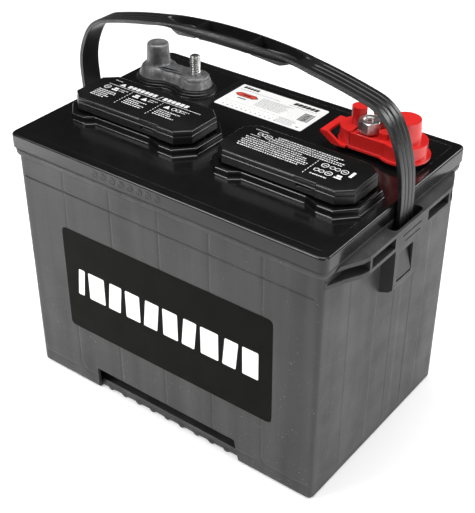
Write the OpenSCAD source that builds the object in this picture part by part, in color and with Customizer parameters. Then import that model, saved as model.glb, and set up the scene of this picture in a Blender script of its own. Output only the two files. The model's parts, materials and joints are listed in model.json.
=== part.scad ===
// Flooded deep cycle battery in the Group 24 case size, with a strap handle,
// two gang vent caps, dual post-and-stud terminals and a lift-off terminal cover.
// Millimetres. Origin at the bottom centre, +X along the case, +Y to the terminals, +Z up.

/* [Case] */
// Length of the lid, along X
lid_l = 260; // [258:0.5:264]
// Width of the lid, along Y
lid_w = 173; // [171:0.5:176]
// Height of the lid's top above the ground
lid_z = 200; // [199:0.5:202]
// Depth of the lid's side lip
lid_lip = 10.7; // [9:0.1:12]
// How far the case wall stands in from the lid's edge
wall_inset = 2.9; // [2.5:0.1:3.5]
// Draft of each case wall over its whole height
wall_draft = 1.0; // [0.5:0.1:1.5]
// Thickness of the case wall
wall_t = 2.5; // [2:0.1:3]
// Distance from one cell to the next
cell_pitch = 42.1; // [41.5:0.1:42.3]
// Thickness of the walls between cells
partition_t = 1.8; // [1.5:0.1:2.2]

/* [Vent caps] */
// Half-length of a gang cap
cap_half = 52.3; // [50:0.1:54]
// Height of a cap's top above the ground
cap_z = 216; // [215:0.5:218]
// Radius of the bore that a vent barrel plugs into
well_r = 9.6; // [9.5:0.05:10]
// Radial clearance between barrel and bore
well_gap = 0.1; // [0.05:0.01:0.1]

/* [Terminals] */
// Distance from the middle of the case to a tapered post, along X
post_x = 105.15; // [104:0.05:106]
// Distance from the middle of the case to a stud, along X
stud_x = 69.8; // [69:0.1:70.5]
// Distance from the middle of the case to the terminals, along Y
term_y = 43.8; // [43:0.1:45]
// Radius of a stud
stud_r = 3.97; // [3.9:0.01:4]
// Height of a stud's tip above the ground
stud_z = 227.2; // [226:0.1:228]

/* [Handle] */
// Width of the strap
strap_w = 16.8; // [15:0.1:17]
// Thickness of the strap
strap_t = 3.1; // [2.5:0.1:3.2]
// Distance from the middle of the case to the strap's outer face
strap_x = 134.2; // [134:0.1:134.4]
// Height of the strap's crown above the ground
crown_z = 276; // [274:0.5:278]
// Radius of the strap's crown
crown_r = 412; // [400:1:425]
// Outer radius of the strap's shoulders
shoulder_r = 28.8; // [27:0.1:31]
// Outer radius of the gentler curve from each shoulder down to the leg
haunch_r = 70; // [60:1:80]

/* [Hidden] */
$fn = 72;
eps = 0.01;

// Case
lid_under = lid_z - lid_lip;
wall_x = lid_l / 2 - wall_inset;
wall_y = lid_w / 2 - wall_inset;
draft_angle = atan(wall_draft / lid_under);
floor_t = 4;
corner_r = 6;
cells = 6;
flange_z = 183.5;
flange_gap = 0.5;
flange_inset = 0.5;
weld_z = 172;
weld_r = 6;
rest_top = 16;
rest_w = 3;
rest_ys = [-60, -20, 20, 60];

// Hold-down recesses along both long walls
recess_x0 = -67.4;
recess_x1 = 61.2;
recess_slope = 4.3;
recess_top = 18.9;
recess_depth = 5;
ledge_out = 1.6;
ledge_z = [1.6, 6];
teeth = 9;
tooth_pitch = 13.76;
tooth_x0 = -58.1;
tooth_r = 2.4;

// Brackets on the end walls
bracket_z = [174.3, 187.3];
bracket_out = 139.2;
bracket_skin = 2.75;
bracket_plan = [[124, 80], [126.6, 80], [129.8, 73], [132.2, 66.8], [137.7, 56.4], [bracket_out, 50]];
pocket_x = 126;
pocket_ys = [[20.4, 47.9], [50.1, 79]];
slot_x = [129, 137.4];
slot_half = 18;
housing_x = 136.2;
housing_y = 13.5;
housing_z = 137;
housing_round = 3;
cavity_x = 134.7;
cavity_y = 9.5;
cavity_z = 143.7;
window_y = 9.1;
window_top = 166;

// Cover
cover_t = 3.5;
platform_z = 205;
platform_half = 56.6;
platform_y = [-45.8, 6];
platform_cut = [11.2, 12];
platform_bay_y = -41;
platform_bay_x = [-34, -27, 21, 33.5];
well_y = -19.5;
well_z = 181;
well_wall = 2.4;
bushing_r = 10;

// Gang caps
cap_x = 1.5 * cell_pitch;
cap_y = [-41, 2];
cap_cut = [9, 8];
cap_z0 = 206.5;
cap_seam = 212.3;
cap_t = 2;
barrel_r = well_r - well_gap;
barrel_in = 7.2;
barrel_z = 184;
foot_inset = 6;
ring_r = 1.2;
ring_section = 1.1;
ring_z = 196;
ring_seat = 0.02;
disc_r = 6.8;
disc_z = [cap_z0 + cap_t, cap_z0 + cap_t + 2.4];
pry_x = [12.7, 28.5];

// Terminals
skirt_z = 204;
skirt_step = 202;
casting_z = 212.6;
pad_z = 212.1;
post_foot_z = 212.8;
post_z = 228.2;
neg_post_r = [9, 8];
pos_post_r = [9.6, 8.75];
core_r = 6;
core_top = 211;
fit_gap = 0.05;
stud_head_r = 6;
stud_head_z = [204.6, 207.6];
stud_collar_r = 4.35;
stud_collar_h = 1.4;
pos_stud = [69, 45.7];
pos_stud_z = 226;

// Cover of the positive terminal
hood_flange_z = 205.4;
hood_z = 215;
hood_floor_z = 213.6;
hood_wall = 1.2;
hood_tier_r = 15.5;
hood_cup_r = 9.87;
hood_cup_foot_r = 10.9;
hood_cup_z = 229.8;
hood_front = 29.9;
hood_end_r = 13.9;
hood_inner_z = 212.9;
sleeve_r = 5.2;
sleeve_z = 227.6;
hex_at = [80.6, 39.5];
hex_z = 215.4;
hex_af = 14.3;
hex_h = 8;
hex_turn = -8.7;
wing_at = [82.6, 52.2];
wing_z = 215.1;
wing_hub_r = 5.2;
wing_hub_h = 6.6;
wing_t = 2.2;
wing_turn = -30;
nut_bore_r = 3.4;
pin_r = 3;
boss_at = [94, 38];
boss_r = 4.2;
boss_z = 219;
tab_z = [210.4, 212.2];

// Cells
plate_w = 146;
plate_z = [rest_top, 143];
sep_z = [rest_top, 147];
pos_count = 6;
neg_count = 7;
pos_t = 2.2;
neg_t = 1.8;
sep_t = 0.9;
lug_w = 11;
strap_bar_z = [157, 165];
strap_bar_w = 22;
tomb_t = 4;
tomb_top = 179;

// Handle
crown_c = crown_z - crown_r;
haunch_turn = 30;
haunch_cx = strap_x - haunch_r;
shoulder_cx = haunch_cx + (haunch_r - shoulder_r) * cos(haunch_turn);
shoulder_cz = crown_c + sqrt(pow(crown_r - shoulder_r, 2) - pow(shoulder_cx, 2));
haunch_cz = shoulder_cz - (haunch_r - shoulder_r) * sin(haunch_turn);
strap_foot = 144;
barb_z = [146, 164];
barb_x = [136.2, 132.9];
grip_half = [38, 62];
grip_under = 265.9;
grip_end_z = 270.2;
grip_rim = 0.4;
grip_wall = 1.9;
grip_ribs = [-25, 18];
groove_w = 1.5;
groove_d = 0.7;
groove_ys = [-4.2, 0, 4.2];
groove_from = 66;
groove_foot = 168;

// Labels
label_t = 0.25;
label_off = 0.03;
front_label_x = [-89.8, 92.5];
front_label_z = [51.9, 137.6];
top_label_x = [-46.5, 29.2];
top_label_y = [35, 72.5];

function cell_x(i) = (i - (cells + 1) / 2) * cell_pitch;
function side_of(i) = i % 2 == 1 ? 1 : -1;

// A box between two corners
module span(a, b) {
    translate(a)
        cube(b - a);
}

// A rectangle about the origin with round corners
module round_rect(l, w, r) {
    square([l - 2 * r, w], center = true);
    square([l, w - 2 * r], center = true);
    for (sx = [-1, 1], sy = [-1, 1])
        translate([sx * (l / 2 - r), sy * (w / 2 - r)])
            circle(r);
}

// A shape drawn in the XZ plane, extruded from y0 to y1
module along_y(y0, y1) {
    translate([0, y1, 0])
        rotate([90, 0, 0])
            linear_extrude(y1 - y0)
                children();
}

// A shape drawn in the YZ plane, extruded from x0 to x1
module along_x(x0, x1) {
    translate([x0, 0, 0])
        rotate([90, 0, 90])
            linear_extrude(x1 - x0)
                children();
}

// Both ends or both sides of something drawn once
module both(axis) {
    children();
    mirror(axis)
        children();
}

// ---------------------------------------------------------------- case

// The case's outside with its drafted walls, or its inside when inset by a wall
module drafted_block(inset, z0, z1) {
    top_x = wall_x - inset;
    top_y = wall_y - inset;
    foot_x = top_x - wall_draft;
    foot_y = top_y - wall_draft;
    intersection() {
        translate([0, 0, z0])
            linear_extrude(z1 - z0)
                round_rect(2 * top_x, 2 * top_y, max(corner_r - inset, 1) + wall_draft);
        along_y(-lid_w, lid_w)
            polygon([[-foot_x, 0], [foot_x, 0], [top_x, lid_under], [-top_x, lid_under]]);
        along_x(-lid_l, lid_l)
            polygon([[-foot_y, 0], [foot_y, 0], [top_y, lid_under], [-top_y, lid_under]]);
    }
}

// Rounded bead round the case just under the lid
module case_flange() {
    top = lid_under - flange_gap;
    round_h = 2;
    for (k = [0, 1])
        translate([0, 0, flange_z + k * round_h])
            linear_extrude(top - flange_z - k * round_h)
                round_rect(
                    lid_l - 2 * flange_inset - 2 * (1 - k),
                    lid_w - 2 * flange_inset - 2 * (1 - k),
                    corner_r);
}

// Ledge, step and row of half-round teeth at the foot of one long wall
module hold_down_cut() {
    face = wall_y - wall_draft - recess_depth;
    along_y(-lid_w, -face)
        polygon([
            [recess_x0, -1],
            [recess_x1 + recess_slope, -1],
            [recess_x1, recess_top],
            [recess_x0, recess_top]]);
}

module hold_down_ledge() {
    face = wall_y - wall_draft - recess_depth;
    along_x(recess_x0, recess_x1)
        polygon([
            [-face, ledge_z[0]],
            [-face - ledge_out, ledge_z[0]],
            [-face - ledge_out, ledge_z[1] - ledge_out],
            [-face, ledge_z[1]]]);
    for (i = [0 : teeth - 1])
        along_y(-face - ledge_out, -face)
            translate([tooth_x0 + i * tooth_pitch, tooth_r])
                circle(tooth_r, $fn = 32);
}

// Shelf with pockets, strap slot and clip housing on the right end wall
module bracket_solid() {
    back = [for (p = bracket_plan) p];
    front = [for (i = [len(bracket_plan) - 1 : -1 : 0]) [bracket_plan[i][0], -bracket_plan[i][1]]];
    intersection() {
        translate([0, 0, bracket_z[0]])
            linear_extrude(bracket_z[1] - bracket_z[0])
                polygon(concat(back, front));
        along_x(0, lid_l)
            polygon([
                [-81, bracket_z[0]], [81, bracket_z[0]], [81, 178.4], [78, 180.7],
                [70, bracket_z[1]], [-70, bracket_z[1]], [-78, 180.7], [-81, 178.4]]);
    }
    along_y(-housing_y, housing_y)
        polygon([
            [wall_x - wall_t, housing_z - 4],
            [housing_x - housing_round, housing_z],
            [housing_x, housing_z + housing_round],
            [housing_x, bracket_z[0] + 1],
            [wall_x - wall_t, bracket_z[0] + 1]]);
}

module bracket_cuts() {
    for (p = pocket_ys)
        both([0, 1, 0])
            span(
                [pocket_x, p[0], bracket_z[0] + bracket_skin],
                [bracket_out + 5, p[1], bracket_z[1] - bracket_skin]);
    slot_w = slot_x[1] - slot_x[0];
    translate([(slot_x[0] + slot_x[1]) / 2, 0, bracket_z[0] + bracket_skin])
        linear_extrude(bracket_z[1])
            round_rect(slot_w, 2 * slot_half, slot_w / 2 - eps);
    span([slot_x[0], -cavity_y, cavity_z], [cavity_x, cavity_y, bracket_z[1]]);
    span([slot_x[0], -window_y, cavity_z], [housing_x + 5, window_y, window_top]);
}

module case_cells() {
    inner_half = wall_x - wall_t;
    difference() {
        drafted_block(wall_t, floor_t, lid_under + 1);
        for (i = [1 : cells - 1])
            translate([cell_x(i) + cell_pitch / 2 - partition_t / 2, -lid_w, 0])
                cube([partition_t, 2 * lid_w, lid_z]);
        for (y = rest_ys)
            span([-inner_half, y - rest_w / 2, 0], [inner_half, y + rest_w / 2, rest_top]);
        both([0, 1, 0])
            span(
                [recess_x0 - wall_t, -lid_w, 0],
                [recess_x1 + recess_slope + wall_t,
                    -(wall_y - wall_draft - recess_depth - wall_t), recess_top + wall_t]);
    }
}

module case() {
    color("dimgray")
        difference() {
            union() {
                drafted_block(0, 0, lid_under);
                case_flange();
            }
            difference() {
                both([0, 1, 0])
                    hold_down_cut();
                both([0, 1, 0])
                    hold_down_ledge();
            }
            case_cells();
            for (i = [1 : cells - 1])
                translate([cell_x(i), -side_of(i) * term_y, weld_z])
                    rotate([0, 90, 0])
                        cylinder(r = weld_r, h = cell_pitch);
        }
}

// Carries one end of the strap; it ends on the case wall and on the bead
module bracket_right() {
    color("dimgray")
        difference() {
            bracket_solid();
            drafted_block(0, 0, lid_under);
            case_flange();
            bracket_cuts();
        }
}

module bracket_left() {
    mirror([1, 0, 0])
        bracket_right();
}

// ---------------------------------------------------------------- cover

// Outline of the raised platform under one gang cap
module platform_plan() {
    x = platform_half;
    cx = platform_cut[0];
    cy = platform_cut[1];
    y0 = platform_y[0];
    y1 = platform_y[1];
    polygon([
        [-x, y0 + cy], [-x + cx, y0],
        [platform_bay_x[0], y0], [platform_bay_x[1], platform_bay_y],
        [platform_bay_x[2], platform_bay_y], [platform_bay_x[3], y0],
        [x - cx, y0], [x, y0 + cy],
        [x, y1 - cy], [x - cx, y1], [-x + cx, y1], [-x, y1 - cy]]);
}

module cover() {
    color("black")
        difference() {
            union() {
                translate([0, 0, lid_under])
                    linear_extrude(lid_lip)
                        round_rect(lid_l, lid_w, corner_r);
                for (s = [-1, 1])
                    translate([s * cap_x, 0, lid_z - 1])
                        linear_extrude(platform_z - lid_z + 1)
                            platform_plan();
                for (i = [1 : cells])
                    translate([cell_x(i), well_y, well_z])
                        cylinder(r = well_r + well_wall, h = lid_z - well_z);
            }
            difference() {
                translate([0, 0, lid_under - 1])
                    linear_extrude(lid_lip - cover_t + 1)
                        round_rect(2 * (wall_x - wall_t), 2 * (wall_y - wall_t), corner_r - wall_t);
                for (i = [1 : cells])
                    translate([cell_x(i), well_y, well_z])
                        cylinder(r = well_r + well_wall, h = lid_z - well_z);
                for (i = [1 : cells - 1])
                    span(
                        [cell_x(i) + (cell_pitch - partition_t) / 2, -lid_w, lid_under],
                        [cell_x(i) + (cell_pitch + partition_t) / 2, lid_w, lid_z]);
            }
            for (i = [1 : cells])
                translate([cell_x(i), well_y, well_z - 1])
                    cylinder(r = well_r, h = platform_z - well_z + 2);
            for (s = [-1, 1])
                translate([s * post_x, term_y, lid_under - 1])
                    cylinder(r = bushing_r + fit_gap, h = lid_lip + 2);
        }
}

// ---------------------------------------------------------------- gang vent caps

module cap_plan(inset) {
    x = cap_half - inset;
    y0 = cap_y[0] + inset;
    y1 = cap_y[1] - inset;
    cx = cap_cut[0] - inset / 2;
    cy = cap_cut[1] - inset / 2;
    polygon([
        [-x, y0 + cy], [-x + cx, y0], [x - cx, y0], [x, y0 + cy],
        [x, y1 - cy], [x - cx, y1], [-x + cx, y1], [-x, y1 - cy]]);
}

// The lower half: tray, foot plate and three hollow barrels with ring grooves
module vent_cap_body(s) {
    color([0.1, 0.1, 0.1])
        translate([s * cap_x, 0, 0])
            difference() {
                union() {
                    translate([0, 0, cap_z0])
                        linear_extrude(cap_seam - cap_z0)
                            cap_plan(0);
                    translate([0, 0, platform_z])
                        linear_extrude(cap_z0 - platform_z + eps)
                            cap_plan(foot_inset);
                    for (i = [-1 : 1])
                        translate([i * cell_pitch, well_y, barrel_z])
                            cylinder(r = barrel_r, h = cap_z0 - barrel_z + eps);
                }
                translate([0, 0, cap_z0 + cap_t])
                    linear_extrude(cap_seam)
                        cap_plan(cap_t);
                for (i = [-1 : 1])
                    translate([i * cell_pitch, well_y, 0]) {
                        translate([0, 0, barrel_z - 1])
                            cylinder(r = barrel_in, h = cap_z0 + cap_t - barrel_z - 1);
                        translate([0, 0, cap_z0 - 1])
                            cylinder(r = barrel_in / 3, h = cap_t + 2);
                        translate([0, 0, ring_z - ring_r])
                            difference() {
                                cylinder(r = barrel_r + 1, h = 2 * ring_r);
                                cylinder(r = barrel_r - 2 * ring_r + 0.2, h = 2 * ring_r);
                            }
                    }
                pry_slot();
            }
}

module pry_slot() {
    span([pry_x[0], cap_y[0] - 1, cap_seam - 2.6], [pry_x[1], cap_y[0] + cap_t * 0.6, cap_seam - 0.6]);
}

// The upper half: a plate with a shallow gas chamber below and a pry notch in front
module vent_cap_top(s) {
    color([0.12, 0.12, 0.12])
        translate([s * cap_x, 0, 0])
            difference() {
                translate([0, 0, cap_seam])
                    linear_extrude(cap_z - cap_seam)
                        cap_plan(0);
                translate([0, 0, cap_seam - 1])
                    linear_extrude(cap_z - cap_seam - cap_t + 1)
                        cap_plan(cap_t);
                span([pry_x[0], cap_y[0] - 1, cap_z - 1.6], [pry_x[1], cap_y[0] + 1.6, cap_z + 1]);
            }
}

module vent_cap_orings(s) {
    color([0.03, 0.03, 0.03])
        for (i = [-1 : 1])
            translate([s * cap_x + i * cell_pitch, well_y, ring_z])
                rotate_extrude()
                    translate([well_r - ring_seat - ring_section, 0])
                        circle(ring_section, $fn = 32);
}

module vent_cap_discs(s) {
    color("lightgray")
        for (i = [-1 : 1])
            translate([s * cap_x + i * cell_pitch, well_y, disc_z[0]])
                cylinder(r = disc_r, h = disc_z[1] - disc_z[0]);
}

// ---------------------------------------------------------------- terminals

// Two discs and the straight band between them
module link_plan(a, b, ra, rb, band) {
    translate(a)
        circle(ra);
    translate(b)
        circle(rb);
    turn = atan2(b[1] - a[1], b[0] - a[0]);
    translate(a)
        rotate(turn)
            translate([0, -band])
                square([norm(b - a), 2 * band]);
}

// Black gasket between lid and casting, in two steps
module terminal_seal(s, grow) {
    a = [s * post_x, term_y];
    b = [s * stud_x, term_y];
    color([0.05, 0.05, 0.05])
        difference() {
            union() {
                translate([0, 0, lid_z])
                    linear_extrude(skirt_step - lid_z)
                        link_plan(a, b, 17.6 + grow[0], 15.3 + grow[1], 12.8 + grow[2]);
                translate([0, 0, lid_z])
                    linear_extrude(skirt_z - lid_z)
                        link_plan(a, b, 16.6 + grow[0], 14.3 + grow[1], 12 + grow[2]);
            }
            translate([s * post_x, term_y, lid_z - 1])
                cylinder(r = bushing_r + fit_gap, h = skirt_z);
        }
}

// Lead casting: tapered post, bridge and stud pad over a bushing through the lid
module terminal_casting(s, stud, post_end, stud_end, pad_r, post_r, bands) {
    a = [s * post_x, term_y];
    color("gray")
        difference() {
            union() {
                translate([0, 0, skirt_z])
                    linear_extrude(1.2)
                        link_plan(a, stud, post_end, stud_end, bands[0]);
                translate([0, 0, skirt_z + 1])
                    linear_extrude(casting_z - skirt_z - 1)
                        link_plan(a, stud, 10, pad_r, bands[1]);
                translate([a[0], a[1], lid_under + 2]) {
                    cylinder(r = bushing_r, h = skirt_z - lid_under);
                    translate([0, 0, skirt_z - lid_under - 2])
                        cylinder(r1 = post_end, r2 = post_end - 2.6, h = 5.3);
                    translate([0, 0, skirt_z - lid_under + 3.2])
                        cylinder(r = post_r[0], h = post_foot_z - skirt_z - 5.2);
                    translate([0, 0, post_foot_z - lid_under - 2])
                        cylinder(r1 = post_r[0], r2 = post_r[1], h = post_z - post_foot_z);
                }
                translate([stud[0], stud[1], skirt_z]) {
                    cylinder(r1 = stud_end, r2 = pad_r + 0.5, h = 6);
                    cylinder(r = pad_r, h = pad_z - skirt_z);
                }
            }
            translate([a[0], a[1], lid_under])
                cylinder(r = core_r + fit_gap, h = core_top - lid_under);
            translate([stud[0], stud[1], pad_z])
                cylinder(r = pad_r + 0.6, h = 2);
            translate([stud[0], stud[1], skirt_z - 1])
                cylinder(r = stud_r + fit_gap, h = pad_z);
            translate([stud[0], stud[1], skirt_z - 1])
                cylinder(r = stud_head_r + fit_gap, h = stud_head_z[1] - skirt_z + 1);
        }
}

module negative_terminal() {
    terminal_casting(-1, [-stud_x, term_y], 14.9, 12.3, 9.2, neg_post_r, [10.5, 8.5]);
}

module positive_terminal() {
    terminal_casting(1, pos_stud, 13.6, 8.6, 8.2, pos_post_r, [8.4, 7.6]);
}

// Threaded stud drawn at its major diameter, with its embedded head and collar
module terminal_stud(stud, tip) {
    color("silver")
        translate([stud[0], stud[1], 0]) {
            translate([0, 0, stud_head_z[0]])
                cylinder(r = stud_head_r, h = stud_head_z[1] - stud_head_z[0]);
            translate([0, 0, stud_head_z[0]])
                cylinder(r = stud_r, h = tip - stud_head_z[0] - 0.6);
            translate([0, 0, pad_z])
                cylinder(r = stud_collar_r, h = stud_collar_h);
            translate([0, 0, tip - 0.6])
                cylinder(r1 = stud_r, r2 = stud_r - 0.6, h = 0.6);
        }
}

// Lead post that rises from an end cell's strap into the casting
module cell_post(s) {
    color("slategray")
        translate([s * post_x, term_y, strap_bar_z[1]])
            cylinder(r = core_r, h = core_top - strap_bar_z[1] - fit_gap);
}

// ---------------------------------------------------------------- red terminal cover

module hood_plan(inset) {
    intersection() {
        union() {
            translate([post_x, term_y])
                circle(hood_tier_r - inset);
            translate([stud_x + 1, term_y])
                circle(hood_end_r - 1 - inset);
            translate([stud_x + 1.7, hood_front + inset])
                square([98 - stud_x - 1.7, 2 * (hood_end_r - inset)]);
        }
        translate([stud_x - 14, 0])
            square([80, 80]);
    }
}

module hood_outside() {
    translate([0, 0, skirt_z])
        linear_extrude(hood_z - skirt_z)
            hood_plan(0);
    translate([post_x, term_y, skirt_z])
        cylinder(r = 17.85, h = hood_flange_z - skirt_z);
    translate([0, 0, skirt_z])
        linear_extrude(hood_flange_z - skirt_z)
            hood_plan(-1.2);
    translate([post_x, term_y, hood_z - 1])
        cylinder(r1 = hood_cup_foot_r, r2 = hood_cup_r, h = hood_cup_z - hood_z + 1);
    translate([pos_stud[0], pos_stud[1], hood_floor_z - 1])
        cylinder(r = sleeve_r, h = sleeve_z - hood_floor_z + 1);
}

// Low floor between the sleeve and the cup, where the spare nuts are kept
module hood_tray() {
    difference() {
        translate([0, 0, hood_floor_z])
            linear_extrude(hood_z)
                intersection() {
                    hood_plan(hood_wall);
                    translate([71.6, 0])
                        square([22, 80]);
                }
        translate([pos_stud[0], pos_stud[1], 0])
            cylinder(r = sleeve_r, h = lid_l);
        translate([post_x, term_y, 0])
            cylinder(r = hood_cup_foot_r + 0.4, h = lid_l);
    }
}

module hood_furniture() {
    translate([hex_at[0], hex_at[1], hood_floor_z - eps]) {
        cylinder(r = 5, h = hex_z - hood_floor_z + eps);
        cylinder(r = pin_r, h = hex_z - hood_floor_z + 4.5);
    }
    translate([wing_at[0], wing_at[1], hood_floor_z - eps]) {
        cylinder(r = 4.6, h = wing_z - hood_floor_z + eps);
        cylinder(r = pin_r, h = wing_z - hood_floor_z + 4);
    }
    translate([boss_at[0], boss_at[1], hood_floor_z - 1])
        cylinder(r = boss_r, h = boss_z - hood_floor_z + 1);
}

// Room for the casting, the post and the stud
module hood_inside() {
    translate([0, 0, skirt_z - 1])
        linear_extrude(hood_inner_z - skirt_z + 1)
            hood_plan(hood_wall);
    translate([post_x, term_y, hood_inner_z - 1])
        cylinder(r1 = 10.15, r2 = 9.05, h = hood_cup_z - hood_wall - hood_inner_z + 1);
    translate([pos_stud[0], pos_stud[1], skirt_z - 1])
        cylinder(r = sleeve_r - 0.8, h = sleeve_z - skirt_z);
}

// Pull tab: a bar beside the cover, a link behind and a slanted web in front
module hood_tab() {
    span([50.6, 26.8, tab_z[0]], [55.8, 52, tab_z[1]]);
    span([50.6, 47.6, tab_z[0]], [62, 52, tab_z[1]]);
    along_y(27, 29.2)
        polygon([[50.6, tab_z[0]], [50.6, tab_z[1]], [55.8, tab_z[1]], [67, 205], [66, skirt_z], [60, skirt_z]]);
    span([62, 27, skirt_z], [70, 33, hood_flange_z]);
}

module terminal_cover() {
    color([0.84, 0.18, 0.16])
        difference() {
            union() {
                difference() {
                    hood_outside();
                    hood_tray();
                    span([70.9, hood_front - 3, skirt_z + 1.4], [71.9, hood_front + 2, hood_z + 1]);
                }
                hood_furniture();
                hood_tab();
            }
            hood_inside();
        }
}

module stored_hex_nut() {
    color("silver")
        translate([hex_at[0], hex_at[1], hex_z])
            difference() {
                intersection() {
                    rotate(hex_turn)
                        cylinder(d = hex_af / cos(30), h = hex_h, $fn = 6);
                    translate([0, 0, -0.6])
                        cylinder(r1 = hex_af / 2 + 3.6, r2 = hex_af / 2 - 0.4, h = hex_h + 0.6);
                }
                translate([0, 0, -1])
                    cylinder(r = nut_bore_r, h = hex_h + 2);
            }
}

// Conical hub with two upright rounded wings
module stored_wing_nut() {
    color("silver")
        translate([wing_at[0], wing_at[1], wing_z])
            rotate(wing_turn)
                difference() {
                    union() {
                        cylinder(r1 = wing_hub_r, r2 = wing_hub_r - 0.9, h = wing_hub_h);
                        for (s = [-1, 1])
                            along_y(-wing_t / 2, wing_t / 2)
                                intersection() {
                                    translate([s * 6.9, 6.4])
                                        circle(4.3);
                                    polygon([[0, 2.4], [s * 12, 2.4], [s * 12, 12], [s * 3.4, 12], [s * 3.4, 6]]);
                                }
                    }
                    translate([0, 0, -1])
                        cylinder(r = nut_bore_r, h = wing_hub_h + 2);
                }
}

// ---------------------------------------------------------------- handle

// A band that follows the strap's outer face, from depth below it to height above it
module strap_band(depth, height) {
    reach = 2 * crown_r / (crown_r - shoulder_r);
    far_x = shoulder_cx * reach;
    far_z = crown_c + (shoulder_cz - crown_c) * reach;
    turn = [cos(haunch_turn), sin(haunch_turn)];
    intersection() {
        difference() {
            translate([0, crown_c])
                circle(crown_r + height, $fn = 360);
            translate([0, crown_c])
                circle(crown_r - depth, $fn = 360);
        }
        polygon([[0, crown_c], [far_x, far_z], [-far_x, far_z]]);
    }
    both([1, 0]) {
        intersection() {
            translate([shoulder_cx, shoulder_cz])
                difference() {
                    circle(shoulder_r + height);
                    circle(shoulder_r - depth);
                }
            polygon([
                [shoulder_cx, shoulder_cz],
                [shoulder_cx, shoulder_cz] + crown_r * turn,
                [far_x, far_z]]);
        }
        intersection() {
            translate([haunch_cx, haunch_cz])
                difference() {
                    circle(haunch_r + height, $fn = 180);
                    circle(haunch_r - depth, $fn = 180);
                }
            polygon([
                [haunch_cx, haunch_cz],
                [haunch_cx + crown_r, haunch_cz],
                [haunch_cx, haunch_cz] + crown_r * turn]);
        }
        translate([strap_x - depth, groove_foot])
            square([depth + height, haunch_cz - groove_foot]);
    }
}

// The strap's foot with its barb, on the right
module strap_foot_profile() {
    inner = strap_x - strap_t;
    polygon([
        [inner, groove_foot], [strap_x, groove_foot], [strap_x, barb_z[1] + 0.5],
        [barb_x[1], barb_z[1]], [barb_x[0], barb_z[0]], [barb_x[0] - 0.6, strap_foot], [inner, strap_foot]]);
}

// Half-round trough gripped by the hand
module grip_solid(wall) {
    r = strap_w / 2 - wall;
    cz = grip_under + strap_w / 2;
    intersection() {
        union() {
            translate([-100, 0, cz])
                rotate([0, 90, 0])
                    cylinder(r = r, h = 200);
            span([-100, -r, cz], [100, r, crown_z + 5]);
        }
        along_y(-20, 20)
            intersection() {
                polygon([
                    [-grip_half[1], grip_end_z + wall], [-grip_half[0], grip_under + wall],
                    [grip_half[0], grip_under + wall], [grip_half[1], grip_end_z + wall],
                    [grip_half[1], crown_z + 5], [-grip_half[1], crown_z + 5]]);
                translate([0, crown_c])
                    circle(crown_r + grip_rim + wall, $fn = 360);
            }
    }
}

module grip_pockets() {
    intersection() {
        grip_solid(grip_wall);
        difference() {
            span([-48, -20, 268.5], [48, 20, 300]);
            for (x = grip_ribs)
                span([x - 0.8, -20, 0], [x + 0.8, 20, 276]);
        }
    }
}

module handle() {
    color([0.16, 0.16, 0.16])
        difference() {
            union() {
                along_y(-strap_w / 2, strap_w / 2)
                    strap_band(strap_t, 0);
                both([1, 0, 0])
                    along_y(-strap_w / 2, strap_w / 2)
                        strap_foot_profile();
                grip_solid(0);
            }
            grip_pockets();
            for (y = groove_ys)
                along_y(y - groove_w / 2, y + groove_w / 2)
                    difference() {
                        strap_band(groove_d, 1);
                        translate([-groove_from, shoulder_cz])
                            square([2 * groove_from, 100]);
                    }
        }
}

// ---------------------------------------------------------------- labels

module front_label() {
    w = front_label_x[1] - front_label_x[0];
    h = front_label_z[1] - front_label_z[0];
    color([0.13, 0.13, 0.12])
        translate([front_label_x[0] + w / 2, -(wall_y - wall_draft) - label_off, 0])
            rotate([90 + draft_angle, 0, 0])
                translate([0, front_label_z[0] + h / 2, 0])
                    linear_extrude(label_t)
                        round_rect(w, h, 4);
}

module top_label() {
    color("white")
        translate([
            (top_label_x[0] + top_label_x[1]) / 2,
            (top_label_y[0] + top_label_y[1]) / 2,
            lid_z])
            linear_extrude(label_t)
                round_rect(top_label_x[1] - top_label_x[0], top_label_y[1] - top_label_y[0], 1);
}

// ---------------------------------------------------------------- cells

pair_pitch = pos_t + neg_t + 2 * sep_t;
stack_half = (neg_count * neg_t + pos_count * pos_t + 2 * pos_count * sep_t) / 2;

function neg_x(k) = -stack_half + k * pair_pitch;
function pos_x(k) = -stack_half + k * pair_pitch + neg_t + sep_t;

// One set of plates, the strap that joins their lugs and the tombstone beside the partition
module plate_group(i, t, count, lug_y, tomb_side, first) {
    translate([cell_x(i), 0, 0]) {
        for (k = [0 : count - 1]) {
            x = first + k * pair_pitch;
            span([x, -plate_w / 2, plate_z[0]], [x + t, plate_w / 2, plate_z[1]]);
            span([x, lug_y - lug_w / 2, plate_z[1]], [x + t, lug_y + lug_w / 2, strap_bar_z[0]]);
        }
        reach = cell_pitch / 2 - partition_t / 2 - 0.1;
        span(
            [-stack_half, lug_y - strap_bar_w / 2, strap_bar_z[0]],
            [stack_half, lug_y + strap_bar_w / 2, strap_bar_z[1]]);
        if (tomb_side != 0) {
            x0 = tomb_side > 0 ? reach - tomb_t : -reach;
            span(
                [x0, lug_y - strap_bar_w / 2, strap_bar_z[0]],
                [x0 + tomb_t, lug_y + strap_bar_w / 2, tomb_top]);
        }
    }
}

module positive_plates(i) {
    color([0.36, 0.2, 0.14])
        plate_group(i, pos_t, pos_count, -side_of(i) * term_y, i < cells ? 1 : 0, pos_x(0));
}

module negative_plates(i) {
    color([0.45, 0.47, 0.5])
        plate_group(i, neg_t, neg_count, side_of(i) * term_y, i > 1 ? -1 : 0, neg_x(0));
}

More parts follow.
